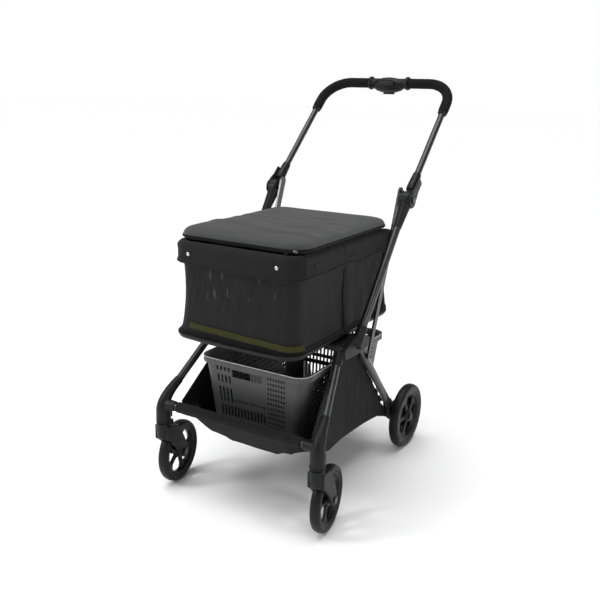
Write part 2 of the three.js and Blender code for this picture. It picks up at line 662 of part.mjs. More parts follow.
add('handle_tube', handleTube(), 'tube');
addPair('grip', grip(), 'foam');
add('handle_housing', handleHousing(), 'plastic');
add('thumb_button', thumbButton(), 'plastic');
add('fold_tab', foldTab(), 'plastic');
addPair('elbow_sleeve', elbowSleeve(), 'plastic');
addPair('elbow_drum', elbowDrum(), 'plastic');
addPair('elbow_pin', elbowPin(), 'steel');
addPair('main_tube', mainTube(), 'tube');
addPair('fold_link', foldLink(), 'tube');
addPair('lower_bracket', lowerBracket(), 'plastic');
addPair('front_leg', frontLeg(), 'tube');
add('front_crossbar', crossbar(), 'tube');
addPair('caster_head', casterHead(), 'plastic');
addPair('caster_lock', casterLock(), 'plastic');
addCasterPair('caster_fork', casterFork(), 'plastic');
addCasterPair('front_axle', frontAxle(), 'steel');
addCasterPair('front_rim', swivelled(rim(CASTER.x, WHEEL_Y, FRONT_WHEEL.r, FRONT_WHEEL, 6)), 'rim');
addCasterPair('front_tyre', swivelled(tyre(CASTER.x, WHEEL_Y, FRONT_WHEEL.r, FRONT_WHEEL)), 'tyre');
addPair('leg_pin', legPin(), 'steel');
addPair('rear_leg', rearLeg(), 'tube');
addPair('wheel_bracket', wheelBracket(), 'plastic');
add('rear_tube', rearTube(), 'tube');
addPair('rear_axle', rearAxle(), 'steel');
addPair('rear_rim', rim(REAR_WHEEL.x, REAR_WHEEL.y, REAR_WHEEL.r, REAR_WHEEL, 5), 'rim');
addPair('rear_tyre', tyre(REAR_WHEEL.x, REAR_WHEEL.y, REAR_WHEEL.r, REAR_WHEEL), 'tyre');
add('brake_bar', brakeBar(), 'steel');
add('brake_pedal', brakePedal(), 'plastic');
add('tray', tray(), 'plastic');
add('carrier_walls', carrierWalls(), 'cloth');
add('carrier_band', carrierBand(), 'cloth');
add('lid', lid(), 'lid');
add('pad', pad(), 'cloth');
add('sling', sling(), 'cloth');
add('shopping_basket', shoppingBasket(), 'basket');

export default parts;
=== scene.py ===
"""Pet stroller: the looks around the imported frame. Metres, +Z up, the front faces -Y, the left side is +X."""
import json
from math import atan2, copysign, cos, exp, hypot, pi, radians, sin

import bmesh
import bpy
from mathutils import Matrix, Vector, noise


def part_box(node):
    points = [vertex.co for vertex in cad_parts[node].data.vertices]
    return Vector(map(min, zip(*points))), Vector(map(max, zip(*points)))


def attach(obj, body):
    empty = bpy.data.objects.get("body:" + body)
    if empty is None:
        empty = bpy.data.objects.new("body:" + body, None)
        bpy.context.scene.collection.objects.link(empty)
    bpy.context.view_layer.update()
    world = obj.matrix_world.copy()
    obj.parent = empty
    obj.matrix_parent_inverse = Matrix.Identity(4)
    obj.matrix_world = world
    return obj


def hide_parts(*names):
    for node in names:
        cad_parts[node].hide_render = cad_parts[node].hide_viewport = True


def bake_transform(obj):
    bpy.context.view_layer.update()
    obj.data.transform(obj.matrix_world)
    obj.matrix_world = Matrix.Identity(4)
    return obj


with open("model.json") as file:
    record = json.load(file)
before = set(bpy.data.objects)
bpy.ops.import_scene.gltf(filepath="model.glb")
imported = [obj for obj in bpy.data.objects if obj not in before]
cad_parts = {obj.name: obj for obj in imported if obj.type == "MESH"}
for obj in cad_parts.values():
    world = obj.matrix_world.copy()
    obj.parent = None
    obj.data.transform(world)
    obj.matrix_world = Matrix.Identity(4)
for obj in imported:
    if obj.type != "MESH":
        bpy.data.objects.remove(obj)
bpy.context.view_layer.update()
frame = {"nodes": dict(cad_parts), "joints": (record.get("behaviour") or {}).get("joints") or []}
JOINTS = {joint["name"]: joint for joint in frame["joints"]}
MM = 0.001
SIDES = (("left", 1), ("right", -1))


def joint_at(name):
    return Vector(JOINTS[name]["pos_m"])


def add_object(name, data):
    obj = bpy.data.objects.new(name, data)
    bpy.context.scene.collection.objects.link(obj)
    return obj


def turns(count):
    """The angles of equal steps round a circle."""
    return (2 * pi * k / count for k in range(count))


ELBOW = joint_at("elbow_fold")
MIDDLE = ELBOW.x


# ---------------------------------------------------------------- camera, floor and light
def camera():
    azimuth, pitch, roll = radians(30.9), radians(15.8), radians(1.163)
    ahead = Vector((-sin(azimuth) * cos(pitch), cos(azimuth) * cos(pitch), -sin(pitch)))
    flat_right = Vector((cos(azimuth), sin(azimuth), 0))
    flat_up = flat_right.cross(ahead)
    right = flat_right * cos(roll) + flat_up * sin(roll)
    up = flat_up * cos(roll) - flat_right * sin(roll)
    data = bpy.data.cameras.new("camera")
    data.lens = 45.73
    data.clip_start = 0.05
    obj = add_object("camera", data)
    turn = Matrix((right, up, -ahead)).transposed()
    obj.matrix_world = Matrix.Translation(ELBOW + Vector((0.9113, -1.6974, 0.262))) @ turn.to_4x4()
    bpy.context.scene.camera = obj


def lamp(name, kind, place, aim, power, size):
    data = bpy.data.lights.new(name, kind)
    data.energy = power
    if kind == "AREA":
        data.shape = "DISK"
        data.size = size
    else:
        data.angle = size
    obj = add_object(name, data)
    obj.location = place
    obj.rotation_euler = (Vector(aim) - Vector(place)).to_track_quat("-Z", "Y").to_euler()


def studio_world():
    """White at the horizon, dimmer overhead, so that dark pieces keep their contrast."""
    world = bpy.data.worlds.new("studio")
    world.use_nodes = True
    tree = world.node_tree
    direction = tree.nodes.new("ShaderNodeTexCoord").outputs["Generated"]
    split = tree.nodes.new("ShaderNodeSeparateXYZ")
    fade = tree.nodes.new("ShaderNodeMapRange")
    for socket, value in zip(fade.inputs[1:5], (0.10, 0.22, 1.0, 0.22)):
        socket.default_value = value
    tree.links.new(direction, split.inputs[0])
    tree.links.new(split.outputs[2], fade.inputs[0])
    tree.links.new(fade.outputs[0], tree.nodes["Background"].inputs["Strength"])
    tree.nodes["Background"].inputs["Color"].default_value = (1, 1, 1, 1)
    bpy.context.scene.world = world


def studio():
    mesh = bpy.data.meshes.new("floor")
    mesh.from_pydata([(-30, -30, 0), (30, -30, 0), (30, 30, 0), (-30, 30, 0)], [], [(0, 1, 2, 3)])
    floor = add_object("floor", mesh)
    floor.data.materials.append(simple_material("floor_paper", (0.94, 0.94, 0.94), 0.9))
    studio_world()
    bpy.context.scene.view_settings.view_transform = "Standard"
    lamp("overhead", "SUN", (-0.3, -0.3, 3), (0, 0, 0), 2.7, radians(60))
    lamp("key", "AREA", (-1.5, -1.9, 1.7), (0, 0, 0.5), 26, 0.7)
    lamp("side", "AREA", (2.6, -0.6, 1.5), (0, 0, 0.5), 16, 0.8)


# ---------------------------------------------------------------- materials
def simple_material(name, colour, roughness):
    material = bpy.data.materials.new(name)
    material.use_nodes = True
    shader = material.node_tree.nodes["Principled BSDF"]
    shader.inputs["Base Color"].default_value = (*colour, 1)
    shader.inputs["Roughness"].default_value = roughness
    return material


class Nodes:
    """Short calls for building a material's node tree."""

    def __init__(self, name, roughness, metallic=0.0, specular=0.5):
        self.material = bpy.data.materials.new(name)
        self.material.use_nodes = True
        self.tree = self.material.node_tree
        self.shader = self.tree.nodes["Principled BSDF"]
        self.shader.inputs["Roughness"].default_value = roughness
        self.shader.inputs["Metallic"].default_value = metallic
        self.shader.inputs["Specular IOR Level"].default_value = specular
        self.place = self.tree.nodes.new("ShaderNodeTexCoord").outputs["Object"]

    def link(self, source, target):
        if hasattr(source, "links"):
            self.tree.links.new(source, target)
        else:
            target.default_value = source

    def math(self, operation, a, b=0.0, c=0.0):
        node = self.tree.nodes.new("ShaderNodeMath")
        node.operation = operation
        for value, socket in zip((a, b, c), node.inputs):
            self.link(value, socket)
        return node.outputs[0]

    def split(self):
        node = self.tree.nodes.new("ShaderNodeSeparateXYZ")
        self.link(self.place, node.inputs[0])
        return node.outputs

    def noise(self, scale, detail=3.0, stretch=(1, 1, 1)):
        mapping = self.tree.nodes.new("ShaderNodeMapping")
        mapping.inputs["Scale"].default_value = stretch
        self.link(self.place, mapping.inputs["Vector"])
        node = self.tree.nodes.new("ShaderNodeTexNoise")
        node.inputs["Scale"].default_value = scale
        node.inputs["Detail"].default_value = detail
        self.link(mapping.outputs[0], node.inputs["Vector"])
        return node.outputs["Fac"]

    def cells(self, scale):
        node = self.tree.nodes.new("ShaderNodeTexVoronoi")
        node.inputs["Scale"].default_value = scale
        self.link(self.place, node.inputs["Vector"])
        return node.outputs["Distance"]

    def wave(self, along, period):
        """0..1 ridges that repeat every period metres along a value."""
        angle = self.math("MULTIPLY", along, 2 * pi / period)
        return self.math("MULTIPLY_ADD", self.math("SINE", angle), 0.5, 0.5)

    def ramp(self, value, low, high, start=0.0, end=1.0):
        node = self.tree.nodes.new("ShaderNodeMapRange")
        for given, socket in ((value, 0), (start, 1), (end, 2), (low, 3), (high, 4)):
            self.link(given, node.inputs[socket])
        return node.outputs[0]

    def colour(self, dark, light, value):
        node = self.tree.nodes.new("ShaderNodeMix")
        node.data_type = "RGBA"
        self.link(value, node.inputs["Factor"])
        node.inputs["A"].default_value = (*dark, 1)
        node.inputs["B"].default_value = (*light, 1)
        self.link(node.outputs["Result"], self.shader.inputs["Base Color"])

    def bump(self, height, distance, strength=1.0):
        node = self.tree.nodes.new("ShaderNodeBump")
        node.inputs["Distance"].default_value = distance
        node.inputs["Strength"].default_value = strength
        self.link(height, node.inputs["Height"])
        self.link(node.outputs[0], self.shader.inputs["Normal"])

    def roughness(self, value):
        self.link(value, self.shader.inputs["Roughness"])

    def edges(self):
        return self.tree.nodes.new("ShaderNodeNewGeometry").outputs["Pointiness"]


def shades(base, spread):
    return tuple(c * (1 - spread) for c in base), tuple(c * (1 + spread) for c in base)


def moulded_plastic(name, base, roughness=0.42, grain=0.00006, specular=0.2):
    n = Nodes(name, roughness, specular=specular)
    cloud = n.noise(35, 4)
    wear = n.ramp(n.edges(), 0.0, 0.5, 0.52, 0.62)
    n.colour(*shades(base, 0.28), n.math("ADD", n.math("MULTIPLY", cloud, 0.7), wear))
    n.roughness(n.ramp(n.noise(180, 3), roughness - 0.08, roughness + 0.12, 0.3, 0.7))
    n.bump(n.math("ADD", n.cells(1500), n.math("MULTIPLY", n.noise(400, 2), 0.6)), grain)
    return n.material


def painted_tube(name, base, roughness=0.27):
    n = Nodes(name, roughness, metallic=0.0, specular=0.45)
    n.shader.inputs["Coat Weight"].default_value = 0.3
    n.shader.inputs["Coat Roughness"].default_value = 0.18
    n.colour(*shades(base, 0.22), n.noise(28, 5))
    n.roughness(n.ramp(n.noise(90, 4, (1, 1, 0.12)), roughness - 0.05, roughness + 0.13, 0.3, 0.7))
    n.bump(n.noise(1100, 3), 0.00003)
    return n.material


def bright_metal(name, base, roughness=0.22):
    n = Nodes(name, roughness, metallic=1.0)
    n.colour(*shades(base, 0.08), n.noise(60, 3))
    n.roughness(n.ramp(n.noise(300, 3, (0.1, 1, 1)), roughness - 0.06, roughness + 0.1, 0.3, 0.7))
    n.bump(n.noise(900, 2, (0.1, 1, 1)), 0.00002)
    return n.material


def foam(name, base):
    n = Nodes(name, 0.85, specular=0.15)
    pores = n.cells(900)
    n.colour(*shades(base, 0.35), n.math("ADD", n.math("MULTIPLY", n.noise(45, 4), 0.6),
                                         n.math("MULTIPLY", pores, 0.4)))
    n.bump(n.math("ADD", pores, n.noise(260, 4)), 0.00018)
    return n.material


def rubber(name, base):
    n = Nodes(name, 0.42, specular=0.2)
    n.colour(*shades(base, 0.3), n.noise(40, 5))
    n.roughness(n.ramp(n.noise(110, 4), 0.33, 0.55, 0.3, 0.7))
    n.bump(n.noise(700, 3), 0.00005)
    return n.material


def woven(name, base, across, down, thread=0.0011, depth=0.00022, spread=0.22, sheen=0.05, roughness=0.8,
          stitch_rows=()):
    """Plain weave: threads run along two directions, given as weights of x, y and z.
    stitch_rows are heights (z) of dashed sewing lines."""
    n = Nodes(name, roughness, specular=0.1)
    n.shader.inputs["Sheen Weight"].default_value = sheen
    n.shader.inputs["Sheen Roughness"].default_value = 0.5
    x, y, z = n.split()

    def along(weights):
        total = n.math("MULTIPLY", x, weights[0])
        total = n.math("MULTIPLY_ADD", y, weights[1], total)
        return n.math("MULTIPLY_ADD", z, weights[2], total)

    u, v = along(across), along(down)
    warp, weft = n.wave(u, thread), n.wave(v, thread)
    check = n.wave(n.math("ADD", u, v), 2 * thread)
    threads = n.math("ADD", n.math("MULTIPLY", warp, check),
                     n.math("MULTIPLY", weft, n.math("SUBTRACT", 1.0, check)))
    slub = n.noise(220, 4)
    tone = n.math("ADD", n.math("MULTIPLY", threads, 0.45), n.math("MULTIPLY", slub, 0.55))
    n.colour(*shades(base, spread), tone)
    height = n.math("ADD", threads, n.math("MULTIPLY", slub, 0.8))
    for row in stitch_rows:
        near = n.ramp(n.math("ABSOLUTE", n.math("SUBTRACT", z, row)), 1.0, 0.0, 0.0, 0.0009)
        dash = n.ramp(n.wave(u, 0.0045), 0.0, 1.0, 0.25, 0.45)
        height = n.math("MULTIPLY_ADD", n.math("MULTIPLY", near, dash), 3.0, height)
    n.bump(height, depth)
    return n.material


def mesh_cloth(name, base):
    """Fine warp-knit mesh: rows of small dark eyelets, and painted highlights (glints) on the creases high on
    the front, lightening the base colour.
    """
    n = Nodes(name, 0.6, specular=0.15)
    x, y, z = n.split()
    lo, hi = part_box("carrier_walls")
    hole = n.math("MULTIPLY", n.wave(n.math("ADD", x, y), 0.0022), n.wave(z, 0.0022))
    eyelet = n.ramp(hole, 0.0, 1.0, 0.35, 0.75)
    streaks = n.ramp(n.noise(1, 4, (130, 130, 22)), 0.0, 1.0, 0.60, 0.70)
    high = n.ramp(n.math("ABSOLUTE", n.math("SUBTRACT", z, lo.z + 0.135)), 1.0, 0.0, 0.02, 0.055)
    front = n.ramp(y, 1.0, 0.0, lo.y + 0.010, lo.y + 0.022)
    middle = n.ramp(n.math("ABSOLUTE", n.math("SUBTRACT", x, MIDDLE + 0.01)), 1.0, 0.0, 0.07, 0.12)
    patch = n.ramp(n.noise(14, 2), 0.0, 1.0, 0.42, 0.56)
    # painted highlight: bright streaks on the creases, kept to a band high on the front middle
    painted_glint = n.math("MULTIPLY", n.math("MULTIPLY", streaks, high),
                   n.math("MULTIPLY", n.math("MULTIPLY", front, middle), patch))
    cloud = n.noise(60, 4, (1, 1, 0.25))
    tone = n.math("SUBTRACT", n.math("ADD", 0.15, n.math("MULTIPLY", cloud, 0.12)),
                  n.math("MULTIPLY", eyelet, 0.12))
    # the painted highlight is added to the tone, so the base colour gets much lighter on the creases
    tone = n.math("ADD", tone, n.math("MULTIPLY", painted_glint, 3.2))
    n.colour(tuple(c * 0.5 for c in base), tuple(c * 9 for c in base), tone)
    n.bump(n.math("SUBTRACT", 1.0, eyelet), 0.0003)
    return n.material


MATERIALS = {
    "plastic": moulded_plastic("black_plastic_grain", (0.0065, 0.0066, 0.007)),
    "hub": moulded_plastic("elbow_plastic_grain", (0.0085, 0.0087, 0.0092), 0.36),
    "tube": painted_tube("gunmetal_paint", (0.010, 0.0103, 0.0113)),
    "steel": bright_metal("bright_steel", (0.62, 0.62, 0.63)),
    "dim_steel": bright_metal("dark_steel", (0.10, 0.10, 0.105), 0.35),
    "foam": foam("foam_grip_skin", (0.006, 0.006, 0.0063)),
    "tyre": rubber("tyre_rubber_skin", (0.0062, 0.0062, 0.0065)),
    "rim": moulded_plastic("rim_plastic_grain", (0.0058, 0.0059, 0.0063), 0.34),
    "basket": moulded_plastic("basket_plastic_grain", (0.060, 0.0603, 0.061), 0.34, 0.00005, 0.4),
    # painted highlight: a pale grey for the thin bead on the basket's rim, standing in for the highlight along
    # the rim's top edge
    "painted_rim_highlight": moulded_plastic("basket_rim_painted_highlight", (0.60, 0.60, 0.605), 0.25, 0.00003, 0.6),
    "mesh": mesh_cloth("carrier_mesh", (0.0046, 0.0046, 0.0049)),
    "band": woven("band_canvas", (0.0115, 0.0115, 0.0121), (1, 1, 0), (0, 0, 1), spread=0.3),
    "lid": woven("lid_canvas", (0.044, 0.0445, 0.0458), (1, 0, 0), (0, 1, 0), spread=0.2, sheen=0.15,
                 roughness=0.6),
    "pad": woven("pad_cloth", (0.06, 0.06, 0.063), (1, 0, 0), (0, 1, 0), thread=0.0016, depth=0.0003),
    "sling": woven("sling_canvas", (0.0088, 0.0088, 0.0092), (0, 1, 0), (1, 0, 1), spread=0.3),
    "webbing": woven("webbing", (0.005, 0.005, 0.0053), (1, 1, 0), (0, 0, 1), thread=0.0018, depth=0.0004),
    "thread": woven("sewing_thread", (0.05, 0.05, 0.052), (1, 1, 0), (0, 0, 1), thread=0.0006,
                    depth=0.0001),
    "olive": woven("olive_ribbon", (0.030, 0.033, 0.0095), (1, 1, 0), (0, 0, 1), thread=0.0014,
                   depth=0.0002),
    "zip": woven("zip_tape", (0.004, 0.004, 0.0043), (1, 1, 0), (0, 0, 1), thread=0.0008),
}


# ---------------------------------------------------------------- mesh helpers
def piece(name, mesh, material, body, replaces=(), smooth=30):
    obj = add_object(name, mesh)
    mesh.materials.clear()
    mesh.materials.append(MATERIALS[material])
    if smooth:
        mesh.shade_smooth()
        mesh.set_sharp_from_angle(angle=radians(smooth))
    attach(obj, body)
    if replaces:
        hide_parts(*([replaces] if isinstance(replaces, str) else replaces))
    return obj


WELD = ("WELD", {"merge_threshold": 1e-6})
SUBDIVIDE = ("SUBSURF", {"levels": 1, "render_levels": 1})


def mesh_of(name, verts, faces):
    mesh = bpy.data.meshes.new(name)
    mesh.from_pydata([tuple(v) for v in verts], [], faces)
    mesh.validate()
    mesh.update()
    return mesh


def outward(mesh):
    work = bmesh.new()
    work.from_mesh(mesh)
    bmesh.ops.recalc_face_normals(work, faces=work.faces)
    work.to_mesh(mesh)
    work.free()
    return mesh


def with_modifiers(name, mesh, *modifiers):
    """The mesh after a list of (type, {setting: value}) modifiers."""
    obj = add_object(name, mesh)
    for kind, settings in modifiers:
        modifier = obj.modifiers.new(kind.lower(), kind)
        for key, value in settings.items():
            setattr(modifier, key, value)
    bpy.context.view_layer.update()
    made = bpy.data.meshes.new_from_object(obj.evaluated_get(bpy.context.evaluated_depsgraph_get()))
    bpy.data.objects.remove(obj)
    return made


def joined(name, meshes):
    work = bmesh.new()
    for mesh in meshes:
        work.from_mesh(mesh)
    made = bpy.data.meshes.new(name)
    work.to_mesh(made)
    work.free()
    return made


def moulded(name, meshes, voxel=0.0011, rounds=6, keep=0.3):
    """Fuses meshes into one body with soft moulded edges."""
    return with_modifiers(
        name, joined(name, meshes),
        ("REMESH", {"mode": "VOXEL", "voxel_size": voxel}),
        ("SMOOTH", {"factor": 0.5, "iterations": rounds}),
        ("DECIMATE", {"ratio": keep}),
    )


def cad_mesh(node):
    return frame["nodes"][node].data.copy()


def cad_axis(node):
    """The two end points of a straight bar's axis."""
    points = [v.co for v in frame["nodes"][node].data.vertices]
    centre = sum(points, Vector()) / len(points)
    far = max(points, key=lambda p: (p - centre).length)
    direction = (far - centre).normalized()
    for _ in range(3):
        spans = sorted(points, key=lambda p: (p - centre).dot(direction))
        half = len(spans) // 2
        low = sum(spans[:half], Vector()) / half
        high = sum(spans[half:], Vector()) / (len(spans) - half)
        direction = (high - low).normalized()
    reach = [(p - centre).dot(direction) for p in points]
    return centre + direction * min(reach), centre + direction * max(reach)


def band_faces(levels, count):
    """Faces of a band of closed loops, each of count points."""
    faces = []
    for level in range(levels - 1):
        for i in range(count):
            a, b = level * count + i, level * count + (i + 1) % count
            faces.append((a, b, b + count, a + count))
    return faces


def grid_faces(rows, columns, start=0):
    """Faces of a grid whose rows hold columns + 1 points each."""
    faces = []
    for row in range(rows):
        for column in range(columns):
            n = start + row * (columns + 1) + column
            faces.append((n, n + 1, n + columns + 2, n + columns + 1))
    return faces


def cloth_mesh(name, verts, faces, thick, offset=0.0, rounds=0):
    """A sheet of cloth with a thickness; rounds is how often its folds are smoothed first."""
    softened = [("SMOOTH", {"factor": 0.5, "iterations": rounds})] if rounds else []
    return with_modifiers(name, mesh_of(name, verts, faces), *softened,
                          ("SOLIDIFY", {"thickness": thick, "offset": offset}), SUBDIVIDE)


def loop_mesh(name, rings):
    """A skin through rings that closes on its first ring."""
    return with_modifiers(name, ring_mesh(name, [*rings, rings[0]], False), WELD)


def ring_mesh(name, rings, closed_ends=True):
    """A skin through rings of equal length."""
    count = len(rings[0])
    faces = band_faces(len(rings), count)
    if closed_ends:
        faces.append(tuple(reversed(range(count))))
        faces.append(tuple(range((len(rings) - 1) * count, len(rings) * count)))
    return outward(mesh_of(name, [p for ring in rings for p in ring], faces))


def circle_frame(path):
    """A direction pair at each point of a path, carried along without twist."""
    frames = []
    side = None
    for i, point in enumerate(path):
        ahead = (path[min(i + 1, len(path) - 1)] - path[max(i - 1, 0)]).normalized()
        if side is None:
            side = ahead.orthogonal().normalized()
        side = (side - ahead * side.dot(ahead)).normalized()
        frames.append((side, ahead.cross(side)))
    return frames


def tube_mesh(name, path, radii, around=28, edge=0.0012):
    """A round tube with softened ends; radii is one number or one for each point."""
    path = [Vector(p) for p in path]
    radii = [radii] * len(path) if isinstance(radii, (int, float)) else list(radii)
    start = path[0] + (path[0] - path[1]).normalized() * edge
    end = path[-1] + (path[-1] - path[-2]).normalized() * edge
    path = [start, *path, end]
    radii = [radii[0] - edge, *radii, radii[-1] - edge]
    rings = []
    for point, radius, (a, b) in zip(path, radii, circle_frame(path)):
        rings.append([point + (a * cos(t) + b * sin(t)) * radius
                      for t in turns(around)])
    return ring_mesh(name, rings)


def spun_mesh(name, profile, centre, axis, around=72):
    """A closed solid of revolution; profile is [(radius, distance along the axis), ...]."""
    axis = Vector(axis).normalized()
    a = axis.orthogonal().normalized()
    b = axis.cross(a)
    rings = []
    for t in turns(around):
        out = a * cos(t) + b * sin(t)
        rings.append([Vector(centre) + axis * along + out * radius for radius, along in profile])
    count = len(profile)
    faces = []
    for level in range(around):
        for i in range(count):
            j = (i + 1) % count
            faces.append((level * count + i, level * count + j,
                          ((level + 1) % around) * count + j, ((level + 1) % around) * count + i))
    mesh = mesh_of(name, [p for ring in rings for p in ring], faces)
    return with_modifiers(name, mesh, WELD)


def line_points(a, b, count):
    return [Vector(a).lerp(Vector(b), i / (count - 1)) for i in range(count)]


def disc_mesh(name, centre, axis, radius, thick, dome=0.0, around=40):
    """A button-like disc with a rounded edge, standing on centre and rising along axis."""
    edge = min(thick * 0.45, radius * 0.3)
    profile = [(0.0, 0.0), (radius - edge * 0.4, 0.0), (radius, edge * 0.6), (radius, thick - edge),
               (radius - edge * 0.35, thick - edge * 0.3), (radius - edge, thick)]
    for step in (0.75, 0.5, 0.25, 0.0):
        reach = (radius - edge) * step
        profile.append((reach, thick + dome * (1 - step * step)))
    return spun_mesh(name, profile, centre, axis, around)


# ---------------------------------------------------------------- frame tubes and plastics
def plain_tubes():
    """Every straight tube: (node, radius in mm, body, material)."""
    tubes = [(f"{node}_{side}", radius, "frame", "tube")
             for side, _ in SIDES for node, radius in (("main_tube", 9.5), ("front_leg", 9))]
    tubes += [("rear_tube", 8, "rear_frame", "tube"), ("brake_bar", 4, "brake", "steel"),
              ("front_crossbar", 9, "frame", "tube")]
    for node, radius, body, material in tubes:
        piece(f"{node}_skin", tube_mesh(node, line_points(*cad_axis(node), 6), radius * MM), material, body,
              node)


def caster_head_body(side):
    """A round head over the caster's stem: its neck flows into the front leg, its stub takes the crossbar."""
    a, b = cad_axis(f"front_leg_{side}")
    low, high = (a, b) if a.z < b.z else (b, a)
    lo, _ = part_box(f"caster_head_{side}")
    stem = joint_at(f"caster_swivel_{side}")
    leg = (high - low).normalized()
    foot, bend = Vector((stem.x, stem.y, lo.z)), Vector((stem.x, stem.y, lo.z + 62 * MM))
    end = low + leg * 42 * MM
    path = line_points(foot, foot.lerp(bend, 0.55), 4)
    radii = [16.2 * MM, 17.2 * MM, 17.2 * MM, 16.8 * MM]
    start = path[-1]
    for k in range(1, 11):
        f = k / 10
        path.append(start * (1 - f) ** 2 + bend * (2 * f * (1 - f)) + end * f * f)
        radii.append((16.8 - 6.4 * f ** 0.85) * MM)
    bar_a, bar_b = cad_axis("front_crossbar")
    bar = bar_a if (bar_a.x - stem.x) ** 2 < (bar_b.x - stem.x) ** 2 else bar_b
    inward = Vector((MIDDLE - stem.x, 0, 0)).normalized()
    stub = [Vector((stem.x, (stem.y + bar.y) / 2, bar.z)), bar + inward * 6 * MM, bar + inward * 15 * MM]
    return [tube_mesh("head", path, radii, 40), tube_mesh("stub", stub, [13 * MM, 12.4 * MM, 11.6 * MM], 32)]


def rear_leg(side):
    """A flattened tube that swells into a broad foot round the wheel bracket."""
    name = f"rear_leg_{side}"
    pivot, foot = joint_at("rear_leg_fold"), joint_at(f"rear_wheel_spin_{side}")
    lo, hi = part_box(name)
    x = (lo.x + hi.x) / 2
    top = Vector((x, pivot.y, pivot.z))
    end = Vector((x, hi.y - 6 * MM, lo.z + 4 * MM))
    ahead = (end - top).normalized()
    across = Vector((1, 0, 0)).cross(ahead).normalized()
    rings = []
    for k in range(15):
        f = k / 14
        wide = (11.2 + 2.6 * max(0, (f - 0.72) / 0.28) ** 2) * MM
        rings.append([top.lerp(end, f) + across * (wide * cos(t)) + Vector((7.6 * MM * sin(t), 0, 0))
                      for t in turns(28)])
    piece(f"{name}_moulding", moulded(name, [cad_mesh(name), ring_mesh("leg", rings)], 0.0011, 6), "tube",
          "rear_frame", name)
    bracket = f"wheel_bracket_{side}"
    block = []
    for f, wide in ((-0.1, 14), (0.3, 20), (0.75, 21), (1.05, 16)):
        centre = end.lerp(Vector((x, foot.y, foot.z)), f)
        block.append([centre + Vector((6.8 * MM * sin(t), wide * MM * cos(t) * 0.8,
                                       wide * MM * cos(t) * 0.45)) for t in turns(24)])
    piece(f"{bracket}_moulding", moulded(bracket, [cad_mesh(bracket), ring_mesh("foot", block)], 0.0011, 7),
          "plastic", "rear_frame", bracket)


def smoothed_nodes():
    for side, _ in SIDES:
        name = f"lower_bracket_{side}"
        piece(f"{name}_moulding", moulded(name, [cad_mesh(name)], 0.0012, 12), "plastic", "frame", name)
        name = f"caster_lock_{side}"
        piece(f"{name}_moulding", moulded(name, [cad_mesh(name)], 0.0009, 4), "plastic", name, name)
        head = f"caster_head_{side}"
        piece(f"{head}_moulding", moulded(head, caster_head_body(side), 0.0011, 4), "plastic", "frame", head)
        rear_leg(side)
    for node, material, body in (("handle_housing", "plastic", "handle"),
                                 ("thumb_button", "hub", "thumb_button"), ("fold_tab", "hub", "fold_tab"),
                                 ("brake_pedal", "plastic", "brake")):
        piece(f"{node}_moulding", moulded(node, [cad_mesh(node)], 0.0009, 5), material, body, node)


def fold_links():
    for side, _ in SIDES:
        name = f"fold_link_{side}"
        mesh = with_modifiers(name, cad_mesh(name),
                              ("BEVEL", {"width": 0.0011, "segments": 3, "limit_method": "ANGLE"}))
        piece(f"{name}_plate", mesh, "tube", "fold_links", name)


DRUM_R = 20.5 * MM


def elbows():
    """A barrel on the main tube, and a disc with a socket that carries the handle's tube round it."""
    bar_low, bar_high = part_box("handle_tube")
    up = Vector((0, bar_high.y - 8 * MM - ELBOW.y, bar_high.z - 8 * MM - ELBOW.z)).normalized()
    for side, sign in SIDES:
        low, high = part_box(f"elbow_sleeve_{side}")
        outer, inner = (high.x, low.x) if sign > 0 else (low.x, high.x)
        centre = Vector((inner, ELBOW.y, ELBOW.z))
        width = abs(outer - inner)
        split = width - 6.6 * MM
        axis = Vector((sign, 0, 0))
        barrel = spun_mesh("barrel", [(5 * MM, 5.4 * MM), (DRUM_R - 4 * MM, 5.4 * MM), (DRUM_R - MM, 7 * MM),
                                      (DRUM_R, 9 * MM), (DRUM_R, split - 2 * MM), (DRUM_R - MM, split),
                                      (5 * MM, split)], centre, axis, 56)
        a, b = cad_axis(f"main_tube_{side}")
        foot, top = (a, b) if a.z < b.z else (b, a)
        down = (foot - top).normalized()
        start = Vector((top.x, ELBOW.y, ELBOW.z)) + down * 12 * MM
        neck = tube_mesh("neck", line_points(start, top + down * 42 * MM, 8),
                         [15.5 * MM - 5.2 * MM * (k / 7) ** 0.75 for k in range(8)], 32)
        piece(f"elbow_drum_{side}_moulding", moulded("drum", [barrel, neck], 0.0011, 4), "hub", "frame",
              f"elbow_drum_{side}")
        disc = spun_mesh("disc", [(3 * MM, split + 0.5 * MM), (DRUM_R - MM, split + 0.5 * MM),
                                  (DRUM_R, split + 2 * MM), (DRUM_R - 1.5 * MM, width - 1.5 * MM),
                                  (15 * MM, width), (13 * MM, width - 1.2 * MM), (8 * MM, width - 1.2 * MM),
                                  (6 * MM, width), (3 * MM, width)], centre, axis, 56)
        tube_x = MIDDLE + sign * ((bar_high.x - bar_low.x) / 2 - 8 * MM)
        socket_foot = Vector((tube_x, ELBOW.y, ELBOW.z)) + up * 29 * MM
        socket = tube_mesh("socket", line_points(socket_foot, socket_foot + up * 50 * MM, 6),
                           [12 * MM, 12.6 * MM, 12.2 * MM, 11.6 * MM, 11.0 * MM, 10.4 * MM], 32)
        across = Vector((0, up.z, -up.y))
        cheek = [(-16, 0), (-17, 14), (-12, 34), (-11, 62), (11, 62), (12, 34), (17, 14), (16, 0)]
        plate = plate_mesh("cheek", cheek, centre, across, up, axis, split + 1.2 * MM, width - 1.6 * MM)
        piece(f"elbow_sleeve_{side}_moulding", moulded("sleeve", [disc, socket, plate], 0.0011, 5), "hub",
              "handle", f"elbow_sleeve_{side}")


# ---------------------------------------------------------------- handle
TUBE_R = 8 * MM
GRIP_R = 13 * MM


